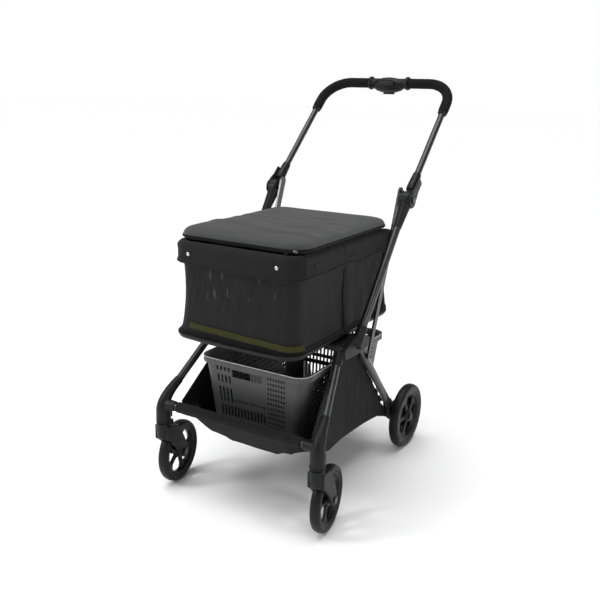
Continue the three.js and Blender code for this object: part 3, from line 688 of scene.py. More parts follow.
def handle_path():
    """The left half of the handle's centre line, from the sleeve up to the middle of the bar."""
    low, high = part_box("handle_tube")
    bar = Vector((MIDDLE, high.y - TUBE_R, high.z - TUBE_R))
    up = Vector((0, bar.y - ELBOW.y, bar.z - ELBOW.z))
    reach, up = up.length, up.normalized()
    half_x = (high.x - low.x) / 2 - TUBE_R - 3 * MM
    bend = 70 * MM
    points = [ELBOW + up * 0.046 + Vector((half_x + 3 * MM, 0, 0))]
    for i in range(15):
        turn = i / 14 * pi / 2
        side = half_x - bend * (1 - cos(turn))
        points.append(ELBOW + up * (reach - bend * (1 - sin(turn))) + Vector((side, 0, 0)))
    return points


def mirrored(points):
    return [Vector((2 * MIDDLE - p.x, p.y, p.z)) for p in points]


def handle():
    points = handle_path()
    straight = line_points(points[0], points[1], 10)
    left = [*straight[:-1], *points[1:]]
    piece("handle_tube_skin", tube_mesh("handle", [*left, *reversed(mirrored(left))], TUBE_R), "tube",
          "handle", "handle_tube")
    housing_low, housing_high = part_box("handle_housing")
    half = (housing_high.x - housing_low.x) / 2
    start = points[0].lerp(points[1], (0.288 - 0.046) / (points[1] - points[0]).length)
    for side, sign in SIDES:
        bar_end = Vector((MIDDLE + half + 0.5 * MM, points[-1].y, points[-1].z))
        path = [*line_points(start, points[1], 5)[:-1], *points[1:-1], *line_points(points[-1], bar_end, 10)]
        if sign < 0:
            path = mirrored(path)
        radii = [GRIP_R * (1 + 0.012 * noise.noise(p * 90)) for p in path]
        radii[0] = GRIP_R * 0.93
        piece(f"grip_{side}_foam", tube_mesh("grip", path, radii, 36, 0.003), "foam", "handle",
              f"grip_{side}")
        ahead = (path[0] - path[1]).normalized()
        ring = spun_mesh("ring", [(TUBE_R + 0.2 * MM, 0), (GRIP_R - 1.5 * MM, 0), (GRIP_R - MM, 1.5 * MM),
                                  (TUBE_R + MM, 8 * MM), (TUBE_R + 0.2 * MM, 8 * MM)], path[0]
                         + ahead * 3 * MM, ahead, 36)
        piece(f"grip_end_ring_{side}", ring, "plastic", "handle")
    for side, sign in SIDES:
        edge = Vector((MIDDLE + sign * (half - 4 * MM), points[-1].y, points[-1].z))
        collar = spun_mesh("collar", [(GRIP_R, -4.5 * MM), (16.4 * MM, -4.5 * MM), (17.4 * MM, -2 * MM),
                                      (17.6 * MM, 0), (17.4 * MM, 2 * MM), (16.2 * MM, 4 * MM),
                                      (GRIP_R, 4 * MM)], edge, (1, 0, 0), 48)
        piece(f"housing_collar_{side}", collar, "hub", "handle")


# ---------------------------------------------------------------- wheels
def tyre_mesh(name, centre, axis, radius, width, depth):
    half = width / 2
    bed = radius - depth
    profile = [(bed, -half * 0.82), (bed + 3 * MM, -half * 0.95)]
    steps = 18
    for i in range(steps + 1):
        t = pi * i / steps
        across = -cos(t) * half
        crown = sin(t) ** 0.62
        profile.append((radius - 10 * MM + 10 * MM * crown, across))
    profile += [(bed + 3 * MM, half * 0.95), (bed, half * 0.82)]
    return spun_mesh(name, profile, centre, axis, 120)


def rim_mesh(name, centre, axis, radius, width, spokes, dish):
    """A moulded rim: hub, ring and broad spokes fused into one body; dish moves the hub face outwards."""
    axis = Vector(axis).normalized()
    up = Vector((0, 0, 1))
    side = axis.cross(up).normalized()
    edge = radius
    half = width / 2
    hub = spun_mesh("hub", [(5.2 * MM, -half * 0.8), (15 * MM, -half * 0.8), (18 * MM, -half * 0.3),
                            (18 * MM, half * 0.45 + dish), (14 * MM, half * 0.75 + dish),
                            (5.2 * MM, half * 0.75 + dish)], centre, axis, 40)
    ring = spun_mesh("ring", [(edge - 7 * MM, -half * 0.75), (edge, -half * 0.85), (edge, half * 0.85),
                              (edge - 4 * MM, half * 0.8), (edge - 10 * MM, 0)], centre, axis, 72)
    bodies = [hub, ring]
    wide_spoke = 2 * pi * (edge - 8 * MM) / spokes
    for k in range(spokes):
        t = 2 * pi * (k + 0.25) / spokes
        out = up * cos(t) + side * sin(t)
        across = axis.cross(out)
        rings = []
        for i in range(8):
            f = i / 7
            reach = 11 * MM + (edge - 14 * MM) * f
            waist = 0.42 - 0.2 * sin(pi * min(f * 1.1, 1))
            wide = wide_spoke * 0.5 * (waist + 0.55 * f ** 4) * (0.45 + 0.55 * f)
            wide = max(wide, 7.5 * MM)
            thick = (5.0 - 1.4 * sin(pi * f)) * MM
            rise = dish * (1 - f) ** 1.4 + 1.0 * MM * sin(pi * f)
            middle = Vector(centre) + out * reach + axis * rise
            rings.append([middle + across * (wide * cos(a)) + axis * (thick * sin(a))
                          for a in turns(20)])
        bodies.append(ring_mesh("spoke", rings))
    if dish:
        bodies.append(spun_mesh("web", [(8 * MM, -half * 0.55), (edge - 3 * MM, -half * 0.7),
                                        (edge - 3 * MM, -half * 0.45), (8 * MM, -half * 0.25)], centre, axis,
                                72))
    return moulded(name, bodies, 0.0012, 5, 0.35)


def wheels():
    """Radius, tyre width, tyre depth, spokes and dish of the front and rear wheels."""
    kinds = {"front": (76, 24, 15, 5, 0.0), "rear": (87, 25, 24, 5, 3.0)}
    for side, sign in SIDES:
        for end, (radius, width, depth, spokes, dish) in kinds.items():
            joint = JOINTS[f"{end}_wheel_spin_{side}"]
            centre, outer = Vector(joint["pos_m"]), Vector(joint["axis"]) * sign
            body = f"{end}_wheel_{side}"
            tyre = tyre_mesh("tyre", centre, outer, radius * MM, width * MM, depth * MM)
            rim = rim_mesh("rim", centre, outer, (radius - depth - 0.5) * MM, width * MM, spokes, dish * MM)
            piece(f"{end}_tyre_{side}_rubber", tyre, "tyre", body, f"{end}_tyre_{side}", smooth=50)
            piece(f"{end}_rim_{side}_moulding", rim, "rim", body, f"{end}_rim_{side}")
            if end == "rear":
                cap = disc_mesh("cap", centre + outer * 12.5 * MM, outer, 11 * MM, 3.5 * MM, 1.4 * MM)
                piece(f"rear_hub_cap_{side}", cap, "hub", "rear_frame")


EAR = [(-9, -8), (12, -10), (32, -20), (50, -42), (63, -66), (71, -84), (74, -98), (71, -109), (62, -115),
       (51, -112), (42, -100), (28, -78), (10, -58), (-9, -42)]
BRIDGE = [(-9, -8), (8, -10), (26, -14), (40, -22), (30, -26.5), (18, -31), (10, -37.5), (2, -46), (-9, -44)]


def plate_mesh(name, outline, origin, along, up, out, low, high):
    """A flat plate: outline holds (along, up) pairs in mm, low and high are its faces along out."""
    rings = [[origin + along * (a * MM) + up * (b * MM) + out * face for a, b in outline]
             for face in (low, high)]
    return ring_mesh(name, rings)


def caster_forks():
    vertical = Vector((0, 0, 1))
    for side, _ in SIDES:
        name = f"caster_fork_{side}"
        stem = joint_at(f"caster_swivel_{side}")
        wheel = joint_at(f"front_wheel_spin_{side}")
        axis = Vector(JOINTS[f"front_wheel_spin_{side}"]["axis"])
        trail = Vector((wheel.x - stem.x, wheel.y - stem.y, 0)).normalized()
        head_low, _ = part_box(f"caster_head_{side}")
        top = Vector((stem.x, stem.y, head_low.z))
        skirt = spun_mesh("skirt", [(7 * MM, -44 * MM), (10 * MM, -44 * MM), (14 * MM, -38 * MM),
                                    (16.4 * MM, -20 * MM), (16.4 * MM, -1 * MM), (7 * MM, -1 * MM)],
                          top - trail * 1.5 * MM, vertical, 48)
        bodies = [skirt, plate_mesh("bridge", BRIDGE, top, trail, vertical, axis, -17 * MM, 17 * MM)]
        for low, high in ((13.0, 19.4), (-19.4, -13.0)):
            bodies.append(plate_mesh("ear", EAR, top, trail, vertical, axis, low * MM, high * MM))
        piece(f"{name}_moulding", moulded(name, bodies, 0.0011, 7), "plastic", f"caster_{side}", name)
        for k in range(2):
            foot = top + trail * ((20 + 13 * k) * MM) - vertical * ((13 + 4 * k) * MM)
            piece(f"caster_knob_{k + 1}_{side}", disc_mesh("knob", foot, vertical, 5 * MM, 9 * MM, 1.5 * MM),
                  "plastic", f"caster_{side}")
        for rise in (2.5, 9):
            band = spun_mesh("band", [(16.4 * MM, -0.9 * MM), (17.7 * MM, -0.9 * MM), (17.9 * MM, 0),
                                      (17.7 * MM, 0.9 * MM), (16.4 * MM, 0.9 * MM)],
                             top + vertical * (rise * MM), vertical, 48)
            piece(f"caster_head_band_{int(rise)}_{side}", band, "hub", "frame")


# ---------------------------------------------------------------- carrier
def rounded_loop(lo, hi, radius, inset=0.0, corner=8, along=14):
    """Points round a rounded rectangle in plan, starting at the middle of the front and going to +X."""
    x0, x1 = lo.x + inset, hi.x - inset
    y0, y1 = lo.y + inset, hi.y - inset
    r = max(radius - inset, 4 * MM)
    points = []

    def arc(cx, cy, start):
        for i in range(corner + 1):
            t = start + (i / corner) * pi / 2
            points.append((cx + r * cos(t), cy + r * sin(t)))

    def side(a, b):
        for i in range(1, along):
            points.append((a[0] + (b[0] - a[0]) * i / along, a[1] + (b[1] - a[1]) * i / along))

    arc(x1 - r, y0 + r, -pi / 2)
    side((x1, y0 + r), (x1, y1 - r))
    arc(x1 - r, y1 - r, 0)
    side((x1 - r, y1), (x0 + r, y1))
    arc(x0 + r, y1 - r, pi / 2)
    side((x0, y1 - r), (x0, y0 + r))
    arc(x0 + r, y0 + r, pi)
    side((x0 + r, y0), (x1 - r, y0))
    return points


def loop_normals(loop):
    normals = []
    for i, (x, y) in enumerate(loop):
        ax, ay = loop[i - 1]
        bx, by = loop[(i + 1) % len(loop)]
        normals.append(Vector((by - ay, ax - bx, 0)).normalized())
    return normals


def cloth_wall(name, lo, hi, heights, offset, thick):
    """An open band of cloth round the carrier; offset(f, point, normal) moves it outwards."""
    loop = rounded_loop(lo, hi, WALL_CORNER, 0, 8, 44)
    normals = loop_normals(loop)
    verts = []
    for level, z in enumerate(heights):
        f = level / (len(heights) - 1)
        for (x, y), normal in zip(loop, normals):
            point = Vector((x, y, z))
            verts.append(point + normal * offset(f, point, normal))
    return cloth_mesh(name, verts, band_faces(len(heights), len(loop)), thick, -1.0)


def levels(low, high, count):
    return [low + (high - low) * i / (count - 1) for i in range(count)]


WALL_CORNER = 26 * MM
WALL_FLARE = 7 * MM


def wall_shape():
    """The box of the carrier's walls without the flare at their foot."""
    lo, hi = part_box("carrier_walls")
    flare = Vector((WALL_FLARE, WALL_FLARE, 0))
    return lo + flare, hi - flare


def wall_offset(f, point, normal):
    """How far the mesh wall stands out from its straight shape at height share f."""
    flare = 11 * MM * max(0, 1 - f / 0.55) ** 1.7 + 1.5 * MM
    flare *= 1 - 0.55 * max(0.0, normal.x)
    sag = -3.5 * MM * sin(pi * min(1, max(0, f * 1.15)))
    front = max(0.0, -normal.y) ** 6
    ripple_zone = exp(-((f - 0.56) / 0.2) ** 2)
    swell = noise.noise(Vector((point.x * 26, point.y * 26, point.z * 9)))
    ripple = 1.5 * MM * front * ripple_zone * sin(point.x * 420 + 3.0 * sin(point.z * 60 + point.x * 25))
    fine = 1.1 * MM * noise.noise(Vector((point.x * 75, point.y * 75, point.z * 22 + 4)))
    return flare + sag + 2.2 * MM * swell + ripple * (0.5 + swell) + fine


def carrier_walls():
    lo, hi = wall_shape()
    _, tray_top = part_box("tray")
    walls = cloth_wall("walls", lo, hi, levels(tray_top.z - 6 * MM, hi.z - 2 * MM, 35), wall_offset, 1.6 * MM)
    obj = piece("carrier_mesh_walls", walls, "mesh", "frame", "carrier_walls", smooth=60)


def carrier_trim():
    """The base binding, the side straps and the ribbon of the carrier."""
    lo, hi = wall_shape()
    _, tray_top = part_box("tray")
    height = hi.z - tray_top.z

    def over_wall(f, point, normal):
        return wall_offset((point.z - tray_top.z) / height, point, normal) + 1.0 * MM

    binding = cloth_wall("binding", lo, hi, levels(tray_top.z - 5 * MM, tray_top.z + 9 * MM, 6), over_wall,
                         1.2 * MM)
    piece("carrier_base_binding", binding, "zip", "frame", smooth=60)
    for side, sign in SIDES:
        for tag, back in (("front", 0.47), ("rear", 0.93)):
            y = lo.y + (hi.y - lo.y) * back
            path = []
            for z in levels(tray_top.z + 2 * MM, hi.z - 50 * MM, 22):
                x = hi.x if sign > 0 else lo.x
                point = Vector((x, y, z))
                out = wall_offset((z - tray_top.z) / height, point, Vector((sign, 0, 0)))
                path.append(Vector((x + sign * (out + 0.9 * MM), y, z)))
            piece(f"side_strap_{tag}_{side}", strap_mesh("strap", path, Vector((0, 1, 0)), 11 * MM,
                                                         1.4 * MM), "webbing", "frame")
    ribbon()


def ribbon():
    """The olive ribbon low on the front wall: it sinks from one end to the other and turns the corner."""
    lo, hi = wall_shape()
    _, tray_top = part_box("tray")
    height = hi.z - tray_top.z
    loop = rounded_loop(lo, hi, WALL_CORNER, 0, 10, 44)
    normals = loop_normals(loop)
    start = MIDDLE - 122 * MM
    front = [i for i, (x, y) in enumerate(loop) if x > start and y < lo.y + 30 * MM]
    front.sort(key=lambda i: (loop[i][0], loop[i][1]))
    verts, faces = [], []
    rows = 5
    span = hi.x - MIDDLE + 122 * MM
    for i in front:
        sink = 9 * MM * (loop[i][0] - MIDDLE + 122 * MM) / span
        low_z = tray_top.z + 16 * MM - sink
        for r in range(rows):
            z = low_z + 13 * MM * r / (rows - 1)
            point = Vector((*loop[i], z))
            out = wall_offset((z - tray_top.z) / height, point, normals[i])
            verts.append(point + normals[i] * (out + 1.6 * MM))
    for c in range(len(front) - 1):
        for r in range(rows - 1):
            a = c * rows + r
            faces.append((a, a + rows, a + rows + 1, a + 1))
    piece("olive_ribbon", cloth_mesh("ribbon", verts, faces, 1.1 * MM), "olive", "frame", smooth=60)


def strap_mesh(name, path, across, width, thick):
    """Flat webbing along a path; across is its width direction."""
    rings = []
    for i, point in enumerate(path):
        ahead = (path[min(i + 1, len(path) - 1)] - path[max(i - 1, 0)]).normalized()
        wide = (across - ahead * across.dot(ahead)).normalized()
        up = ahead.cross(wide)
        rings.append([point + wide * (width / 2 * a) + up * (thick / 2 * b) for a,
                      b in ((-1, -0.6), (-0.94, -1), (0.94, -1), (1, -0.6), (1, 0.6), (0.94, 1), (-0.94, 1),
                            (-1, 0.6))])
    return ring_mesh(name, rings)


HEM_RISE = 8 * MM
SKIRT_INSET = 2.5 * MM


def band_loops():
    """The skirt's outer loop and the mouth's loop, point for point."""
    lo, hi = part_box("carrier_band")
    inset = Vector((SKIRT_INSET, SKIRT_INSET, 0))
    outer = rounded_loop(lo + inset, hi - inset, 38 * MM, 0, 12, 40)
    mouth_lo = Vector((MIDDLE - 143 * MM, lo.y + 26.5 * MM, 0))
    mouth_hi = Vector((MIDDLE + 143 * MM, hi.y - 55 * MM, 0))
    return lo, hi, outer, rounded_loop(mouth_lo, mouth_hi, 26 * MM, 0, 12, 40)


def skirt_offset(f, point, normal):
    """How far the skirt stands out from its loop at height share f."""
    roll = -4.5 * MM * max(0, (f - 0.80) / 0.20) ** 2
    flare = 3.0 * MM * (1 - f) ** 1.5 + 1.5 * MM * exp(-((f - 0.78) / 0.12) ** 2)
    wave = noise.noise(Vector((point.x * 13, point.y * 13, point.z * 14)))
    fine = noise.noise(Vector((point.x * 60, point.y * 60, point.z * 40)))
    hang = 2.2 * MM * sin(point.x * 22 + 1.0) * max(0.0, -normal.y) ** 3 * (1 - f)
    return roll + flare + 2.8 * MM * wave * (0.3 + (1 - f)) + 0.8 * MM * fine + hang


def hem_lift(lo, hi, x, y):
    """How far the hem stands above its lowest line: high at one end of the front, low at the other."""
    share = (x - MIDDLE) / (hi.x - MIDDLE)
    back = (y - lo.y) / (hi.y - lo.y)
    front = HEM_RISE * ((0.6 - share) / 1.6) ** 2
    side = 3.5 * MM * sin(pi * min(1, back * 1.6)) + 2 * MM * sin(back * 19)
    blend = min(1, back / 0.12)
    return front * (1 - blend) + (side + (front if share < 0 else 0) * 0.3) * blend


def droop(hi, y):
    """The cover sinks behind the lid."""
    f = min(1, max(0, (y - (hi.y - 66 * MM)) / (60 * MM)))
    return 13 * MM * f * f * (3 - 2 * f)


def carrier_band():
    """The cloth skirt round the carrier's top, rolled over a padded rim and sewn to the mouth."""
    lo, hi, outer, mouth = band_loops()
    normals = loop_normals(outer)
    rows = [(f, 0.0) for f in levels(0.0, 1.0, 15)]
    rows += [(1.0, s) for s in (0.08, 0.2, 0.36, 0.55, 0.75, 1.0)]
    top = hi.z - 5.5 * MM
    verts = []
    for f, inward in rows:
        for i, (x, y) in enumerate(outer):
            lift = hem_lift(lo, hi, x, y)
            sunk = droop(hi, y)
            z = lo.z + lift + (top - lo.z - lift - sunk) * f
            if inward:
                z += 2.6 * MM * sin(pi * min(1, inward * 1.3)) - 1.5 * MM * inward
                z += 0.8 * MM * noise.noise(Vector((x * 30, y * 30, inward)))
            point = Vector((x, y, z))
            edge = point + normals[i] * skirt_offset(f, point, normals[i])
            verts.append(edge.lerp(Vector((*mouth[i], z)), inward))
    for i, (x, y) in enumerate(mouth):
        verts.append(Vector((x, y, top - 12 * MM - droop(hi, outer[i][1]) * 0.6)))
    mesh = cloth_mesh("band", verts, band_faces(len(rows) + 1, len(outer)), 1.8 * MM, -1.0)
    piece("carrier_skirt", mesh, "band", "frame", "carrier_band", smooth=60)
    skirt_sewing(lo, hi, outer, normals, top)
    skirt_snaps(lo, hi, top)


def skirt_sewing(lo, hi, outer, normals, top):
    """The hem's rolled edge and its line of stitches, and the seams at the corners and sides."""
    hem, stitches = [], []
    for i, (x, y) in enumerate(outer):
        lift = hem_lift(lo, hi, x, y)
        for path, rise, out in ((hem, 1.2 * MM, 0.2 * MM), (stitches, 6.5 * MM, 0.35 * MM)):
            z = lo.z + lift + rise
            point = Vector((x, y, z))
            f = rise / (top - lo.z)
            path.append(point + normals[i] * (skirt_offset(f, point, normals[i]) + out))
    rings = [[p + n * (1.5 * MM * cos(t)) + Vector((0, 0, 1.5 * MM * sin(t)))
              for t in turns(10)] for p, n in zip(hem, normals)]
    piece("skirt_hem", loop_mesh("hem", rings), "band", "frame", smooth=60)
    piece("skirt_stitches", dashes("stitches", stitches, normals, 3.6 * MM, 5.4 * MM), "thread", "frame",
          smooth=0)
    for side, sign in SIDES:
        x = (hi.x - SKIRT_INSET) if sign > 0 else (lo.x + SKIRT_INSET)
        for tag, place, lean in (("corner", 36 * MM, 0.0), ("side", 196 * MM, 22 * MM)):
            path = []
            for k in range(12):
                f = k / 11
                y = lo.y + place + lean * (1 - f) ** 1.6
                lift = hem_lift(lo, hi, x, y)
                point = Vector((x, y, lo.z + lift + (top - lo.z - lift) * f))
                path.append(point + Vector((sign * (skirt_offset(f, point, Vector((sign, 0, 0))) + 0.1 * MM),
                                            0, 0)))
            piece(f"skirt_seam_{tag}_{side}", strap_mesh("seam", path, Vector((0, 1, 0)), 3.0 * MM,
                                                         1.0 * MM), "band", "frame", smooth=60)
            out = [Vector((sign, 0, 0))] * len(path)
            beside = [p + Vector((sign * 0.4 * MM, 3.4 * MM, 0)) for p in path]
            piece(f"seam_stitches_{tag}_{side}", dashes("stitches", beside, out, 3.4 * MM, 5.2 * MM, False),
                  "thread", "frame", smooth=0)


def places_along(path, pitch, closed=True):
    """Every pitch metres along a path: (index of the stretch, its start, its end, distance along it)."""
    carried = 0.0
    for i in range(len(path) if closed else len(path) - 1):
        a, b = path[i], path[(i + 1) % len(path)]
        step = (b - a).length
        while carried < step:
            yield i, a, b, carried
            carried += pitch
        carried -= step


def dashes(name, path, normals, length, pitch, closed=True):
    """Short raised stitches along a path."""
    work = bmesh.new()
    for i, a, b, carried in places_along(path, pitch, closed):
        ahead = (b - a).normalized()
        out = (normals[i] - ahead * normals[i].dot(ahead)).normalized()
        turn = Matrix((ahead, out, ahead.cross(out))).transposed().to_4x4()
        size = Matrix.Diagonal((length, 0.7 * MM, 0.8 * MM, 1))
        spot = Matrix.Translation(a + ahead * carried) @ turn @ size
        bmesh.ops.create_icosphere(work, subdivisions=1, radius=0.5, matrix=spot)
    mesh = bpy.data.meshes.new(name)
    work.to_mesh(mesh)
    work.free()
    return mesh


def skirt_snaps(lo, hi, top):
    """Chrome snaps on dark washers at the front, black ones at the sides."""
    for side, sign in SIDES:
        x = (hi.x - SKIRT_INSET) if sign > 0 else (lo.x + SKIRT_INSET)
        for tag, place, rise in (("a", 76 * MM, 24 * MM), ("b", 228 * MM, 16 * MM)):
            point = Vector((x, lo.y + place, lo.z + rise))
            out = skirt_offset(rise / (top - lo.z), point, Vector((sign, 0, 0)))
            at = point + Vector((sign * (out - 0.6 * MM), 0, 0))
            piece(f"side_snap_{tag}_{side}", disc_mesh("snap", at, (sign, 0, 0), 5.0 * MM, 2.2 * MM,
                                                       1.0 * MM), "plastic", "frame")
        point = Vector((MIDDLE + sign * 112 * MM, lo.y + SKIRT_INSET, lo.z + 27 * MM))
        out = skirt_offset(27 * MM / (top - lo.z), point, Vector((0, -1, 0)))
        at = point + Vector((0, -out + 0.5 * MM, 0))
        piece(f"front_snap_{side}", disc_mesh("snap", at, (0, -1, 0), 4.3 * MM, 2.4 * MM, 1.8 * MM), "steel",
              "frame")
        piece(f"front_snap_washer_{side}", disc_mesh("washer", at, (0, -1, 0), 6.8 * MM, 1.2 * MM),
              "plastic", "frame")


def tray():
    """A flat base whose thin rolled lip flares out round the carrier and bows a little at the front."""
    lo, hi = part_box("tray")
    lo = lo - Vector((7 * MM, 0, 0))
    rings = []
    for z, inset, r in ((0, 22, 16), (0, 16, 24), (1.0, 9, 32), (3.5, 4.0, 38), (7.5, 0.8, 42),
                        (11.0, -0.6, 44), (13.6, -0.4, 44), (14.4, 1.2, 42), (13.6, 2.8, 41),
                        (11.4, 4.6, 38), (8.4, 8, 34), (6.6, 12, 30), (6.0, 18, 24)):
        ring = []
        for x, y in rounded_loop(lo, hi, r * MM + inset * MM, inset * MM, 12, 24):
            share = (x - MIDDLE) / (hi.x - MIDDLE)
            front = max(0.0, 1 - (y - lo.y) / (60 * MM))
            bow = 5 * MM * front * max(0.0, 1 - (share - 0.25) ** 2)
            rise = 2.5 * MM * max(0.0, -share) ** 3
            ring.append(Vector((x, y - bow, lo.z + z * MM + rise)))
        rings.append(ring)
    piece("tray_shell", ring_mesh("tray", rings), "plastic", "frame", "tray", smooth=50)


# ---------------------------------------------------------------- padded pieces
def puffed(mesh, name, pin, cap, pressure=4.0, voxel=0.006):
    """Swells a closed mesh with cloth pressure; pin(co) gives 0..1 for how firmly a point is held."""
    mesh = with_modifiers(name, mesh, ("REMESH", {"mode": "VOXEL", "voxel_size": voxel}))
    obj = add_object(name, mesh)
    rest = [v.co.copy() for v in mesh.vertices]
    group = obj.vertex_groups.new(name="hold")
    for i, co in enumerate(rest):
        group.add([i], pin(co), "REPLACE")
    cloth = obj.modifiers.new("cloth", "CLOTH")
    cloth.settings.use_pressure = True
    cloth.settings.uniform_pressure_force = pressure
    cloth.settings.vertex_group_mass = "hold"
    cloth.settings.pin_stiffness = 1.0
    cloth.settings.tension_stiffness = 12
    cloth.settings.compression_stiffness = 12
    cloth.settings.bending_stiffness = 0.6
    cloth.settings.effector_weights.gravity = 0.0
    cloth.point_cache.frame_start, cloth.point_cache.frame_end = 1, 20
    scene = bpy.context.scene
    for step in range(1, 21):
        scene.frame_set(step)
    made = bpy.data.meshes.new_from_object(obj.evaluated_get(bpy.context.evaluated_depsgraph_get()))
    scene.frame_set(1)
    bpy.data.objects.remove(obj)
    for vert, start in zip(made.vertices, rest):
        move = vert.co - start
        if move.length > cap:
            vert.co = start + move.normalized() * cap
    return with_modifiers(name, made, ("SMOOTH", {"factor": 0.5, "iterations": 2}),
                          SUBDIVIDE)


def loft(lo, hi, sections, corner=9, along=18):
    """A closed body through plan sections [(z, inset, corner radius), ...]."""
    rings = [[Vector((x, y, z)) for x, y in rounded_loop(lo, hi, r + inset, inset, corner, along)] for z,
             inset, r in sections]
    return ring_mesh("loft", rings)


def lid():
    """A soft padded cover: rounded edges, a puffed front and long creases across it."""
    lo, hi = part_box("lid")
    z0 = lo.z - 2.6 * MM
    sections = [(0, 3, 38), (0.8, 0.8, 40), (3.5, -0.6, 42), (8, -1.2, 44), (13, -0.6, 43), (17, 2.2, 41),
                (20.5, 8, 37), (22.5, 18, 30), (24, 32, 22), (24.5, 60, 12)]
    shape = loft(lo, hi, [(z0 + z * MM, inset * MM, r * MM) for z, inset, r in sections])
    centre = (lo + hi) / 2

    def pin(co):
        rim = max(abs(co.x - centre.x) / (hi.x - centre.x), abs(co.y - centre.y) / (hi.y - centre.y))
        return 1.0 if co.z < z0 + 5 * MM or rim > 0.97 else 0.15

    mesh = puffed(shape, "lid", pin, 7 * MM)
    for vert in mesh.vertices:
        co = vert.co
        top = max(0.0, min(1.0, (co.z - z0 - 8 * MM) / (12 * MM)))
        across = (co.x - centre.x) / (hi.x - centre.x)
        along = (co.y - lo.y) / (hi.y - lo.y)
        rim = max(abs(across), abs(2 * along - 1))
        middle = max(0.0, 1 - rim ** 6)
        bulge = 5.5 * exp(-((along - 0.20) / 0.16) ** 2) - 2.5 * exp(-((along - 0.55) / 0.16) ** 2) \
            + 2.0 * exp(-((along - 0.86) / 0.12) ** 2)
        bulge *= 0.75 - 0.35 * across
        drift = 1.4 * sin(across * 2.2 + 0.6) + 0.5 * sin(across * 7)
        fold = sin(along * 34 + drift) * exp(-((along - 0.22) / 0.26) ** 2)
        fold += 0.5 * sin(along * 61 + 2 * drift) * exp(-((along - 0.35) / 0.35) ** 2)
        soft = noise.noise(Vector((co.x * 4, co.y * 15, 0)))
        fine = noise.noise(Vector((co.x * 20, co.y * 60, 3)))
        co.z += top * middle * MM * (bulge + 2.1 * fold + 2.4 * soft + 0.9 * fine)
        sag = max(0.0, 1 - (co.z - z0) / (12 * MM))
        co.y += sag * 1.2 * MM * sin(co.x * 60) * (1 if along < 0.1 else 0)
    mesh.update()
    obj = piece("lid_cover", mesh, "lid", "lid", "lid", smooth=70)
    zipper(lo, hi)


def zipper(lo, hi):
    """The zip round the lid: a dark tape, a row of teeth, and a slider with its pull at the front left."""
    z = lo.z + 3.2 * MM
    loop = rounded_loop(lo, hi, 42 * MM, 0.0, 12, 60)
    path = [Vector((x, y, z)) for x, y in loop]
    tape_rings = []
    normals = loop_normals(loop)
    for point, normal in zip(path, normals):
        tape_rings.append([point + normal * (a * MM) + Vector((0, 0, b * MM)) for a,
                           b in ((-2.5, -3.6), (-0.2, -3.4), (0.7, -1.5), (0.7, 1.5), (0.2, 3.4),
                                 (-2.0, 3.6))])
    piece("zip_tape", loop_mesh("tape", tape_rings), "zip", "lid", smooth=50)
    teeth = bmesh.new()
    for i, a, b, carried in places_along(path, 2.6 * MM):
        point = a.lerp(b, carried / (b - a).length)
        turn = Matrix(((b - a).normalized(), normals[i], Vector((0, 0, 1)))).transposed().to_4x4()
        size = Matrix.Diagonal((1.4 * MM, 1.4 * MM, 2.6 * MM, 1))
        bmesh.ops.create_cube(teeth, size=1,
                              matrix=Matrix.Translation(point + normals[i] * 1.1 * MM) @ turn @ size)
    mesh = bpy.data.meshes.new("teeth")
    teeth.to_mesh(mesh)
    teeth.free()
    piece("zip_teeth", mesh, "plastic", "lid", smooth=0)
    corner = Vector((hi.x - 19 * MM, lo.y + 4.2 * MM, z))
    rings = []
    for f, wide, thick in ((-1, 3.0, 1.2), (-0.7, 4.4, 2.2), (0, 4.0, 2.6), (0.7, 4.4, 2.2), (1, 3.0, 1.2)):
        rings.append([corner + Vector((f * 5.5 * MM, -thick * MM * sin(t) * 0.9, wide * 0.8 * MM * cos(t)))
                      for t in turns(16)])
    piece("zip_slider", ring_mesh("slider", rings), "dim_steel", "lid")
    pull = []
    for f in range(9):
        s = f / 8
        pull.append(corner + Vector((-4 * MM - 16 * MM * s, -5 * MM - 3 * MM * sin(s * 3) - 3 * MM * s,
                                     2 * MM * sin(s * 5) - 3 * MM * s)))
    piece("zip_pull", strap_mesh("pull", pull, Vector((0, 0, 1)), 5.5 * MM, 1.6 * MM), "webbing", "lid")


def pad():
    """The carrier's cushion, with three sewn channels across its top."""
    lo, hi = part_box("pad")
    shape = loft(lo, hi, [(lo.z + MM, 6 * MM, 20 * MM), (lo.z + 8 * MM, 2 * MM, 22 * MM),
                          (hi.z - 8 * MM, 3 * MM, 22 * MM), (hi.z - 2 * MM, 14 * MM, 16 * MM)])
    mesh = puffed(shape, "pad", lambda co: 1.0 if co.z < lo.z + 4 * MM else 0.1, 4 * MM, voxel=0.007)
    centre = (lo + hi) / 2
    for vert in mesh.vertices:
        co = vert.co
        if co.z > centre.z:
            groove = sum(exp(-(((co.y - (lo.y + (hi.y - lo.y) * s)) / (5 * MM)) ** 2))
                         for s in (0.25, 0.5, 0.75))
            co.z -= 5 * MM * min(groove, 1)
    mesh.update()
    obj = piece("pad_cover", mesh, "pad", "frame", "pad", smooth=70)


# ---------------------------------------------------------------- sling
FLOOR_LINE = [(-352, 213), (-337, 194), (-289, 137), (-199, 132), (-3, 122), (84, 112)]
RIM_LINE = [(-352, 218), (-337, 218), (-207, 343), (-74, 344.5), (84, 155)]
HALF_LINE = [(-352, 166), (-331, 178), (-209, 156), (-119, 146.4), (84, 146.4)]
CASTER_ROOM = [(84, 206), (110, 158), (143, 155), (166, 132), (180, 100)]


def along_line(line, at):
    """Straight-line reading of a profile given in mm."""
    if at <= line[0][0]:
        return line[0][1]
    for (a, va), (b, vb) in zip(line, line[1:]):
        if at <= b:
            return va + (vb - va) * (at - a) / (b - a)
    return line[-1][1]


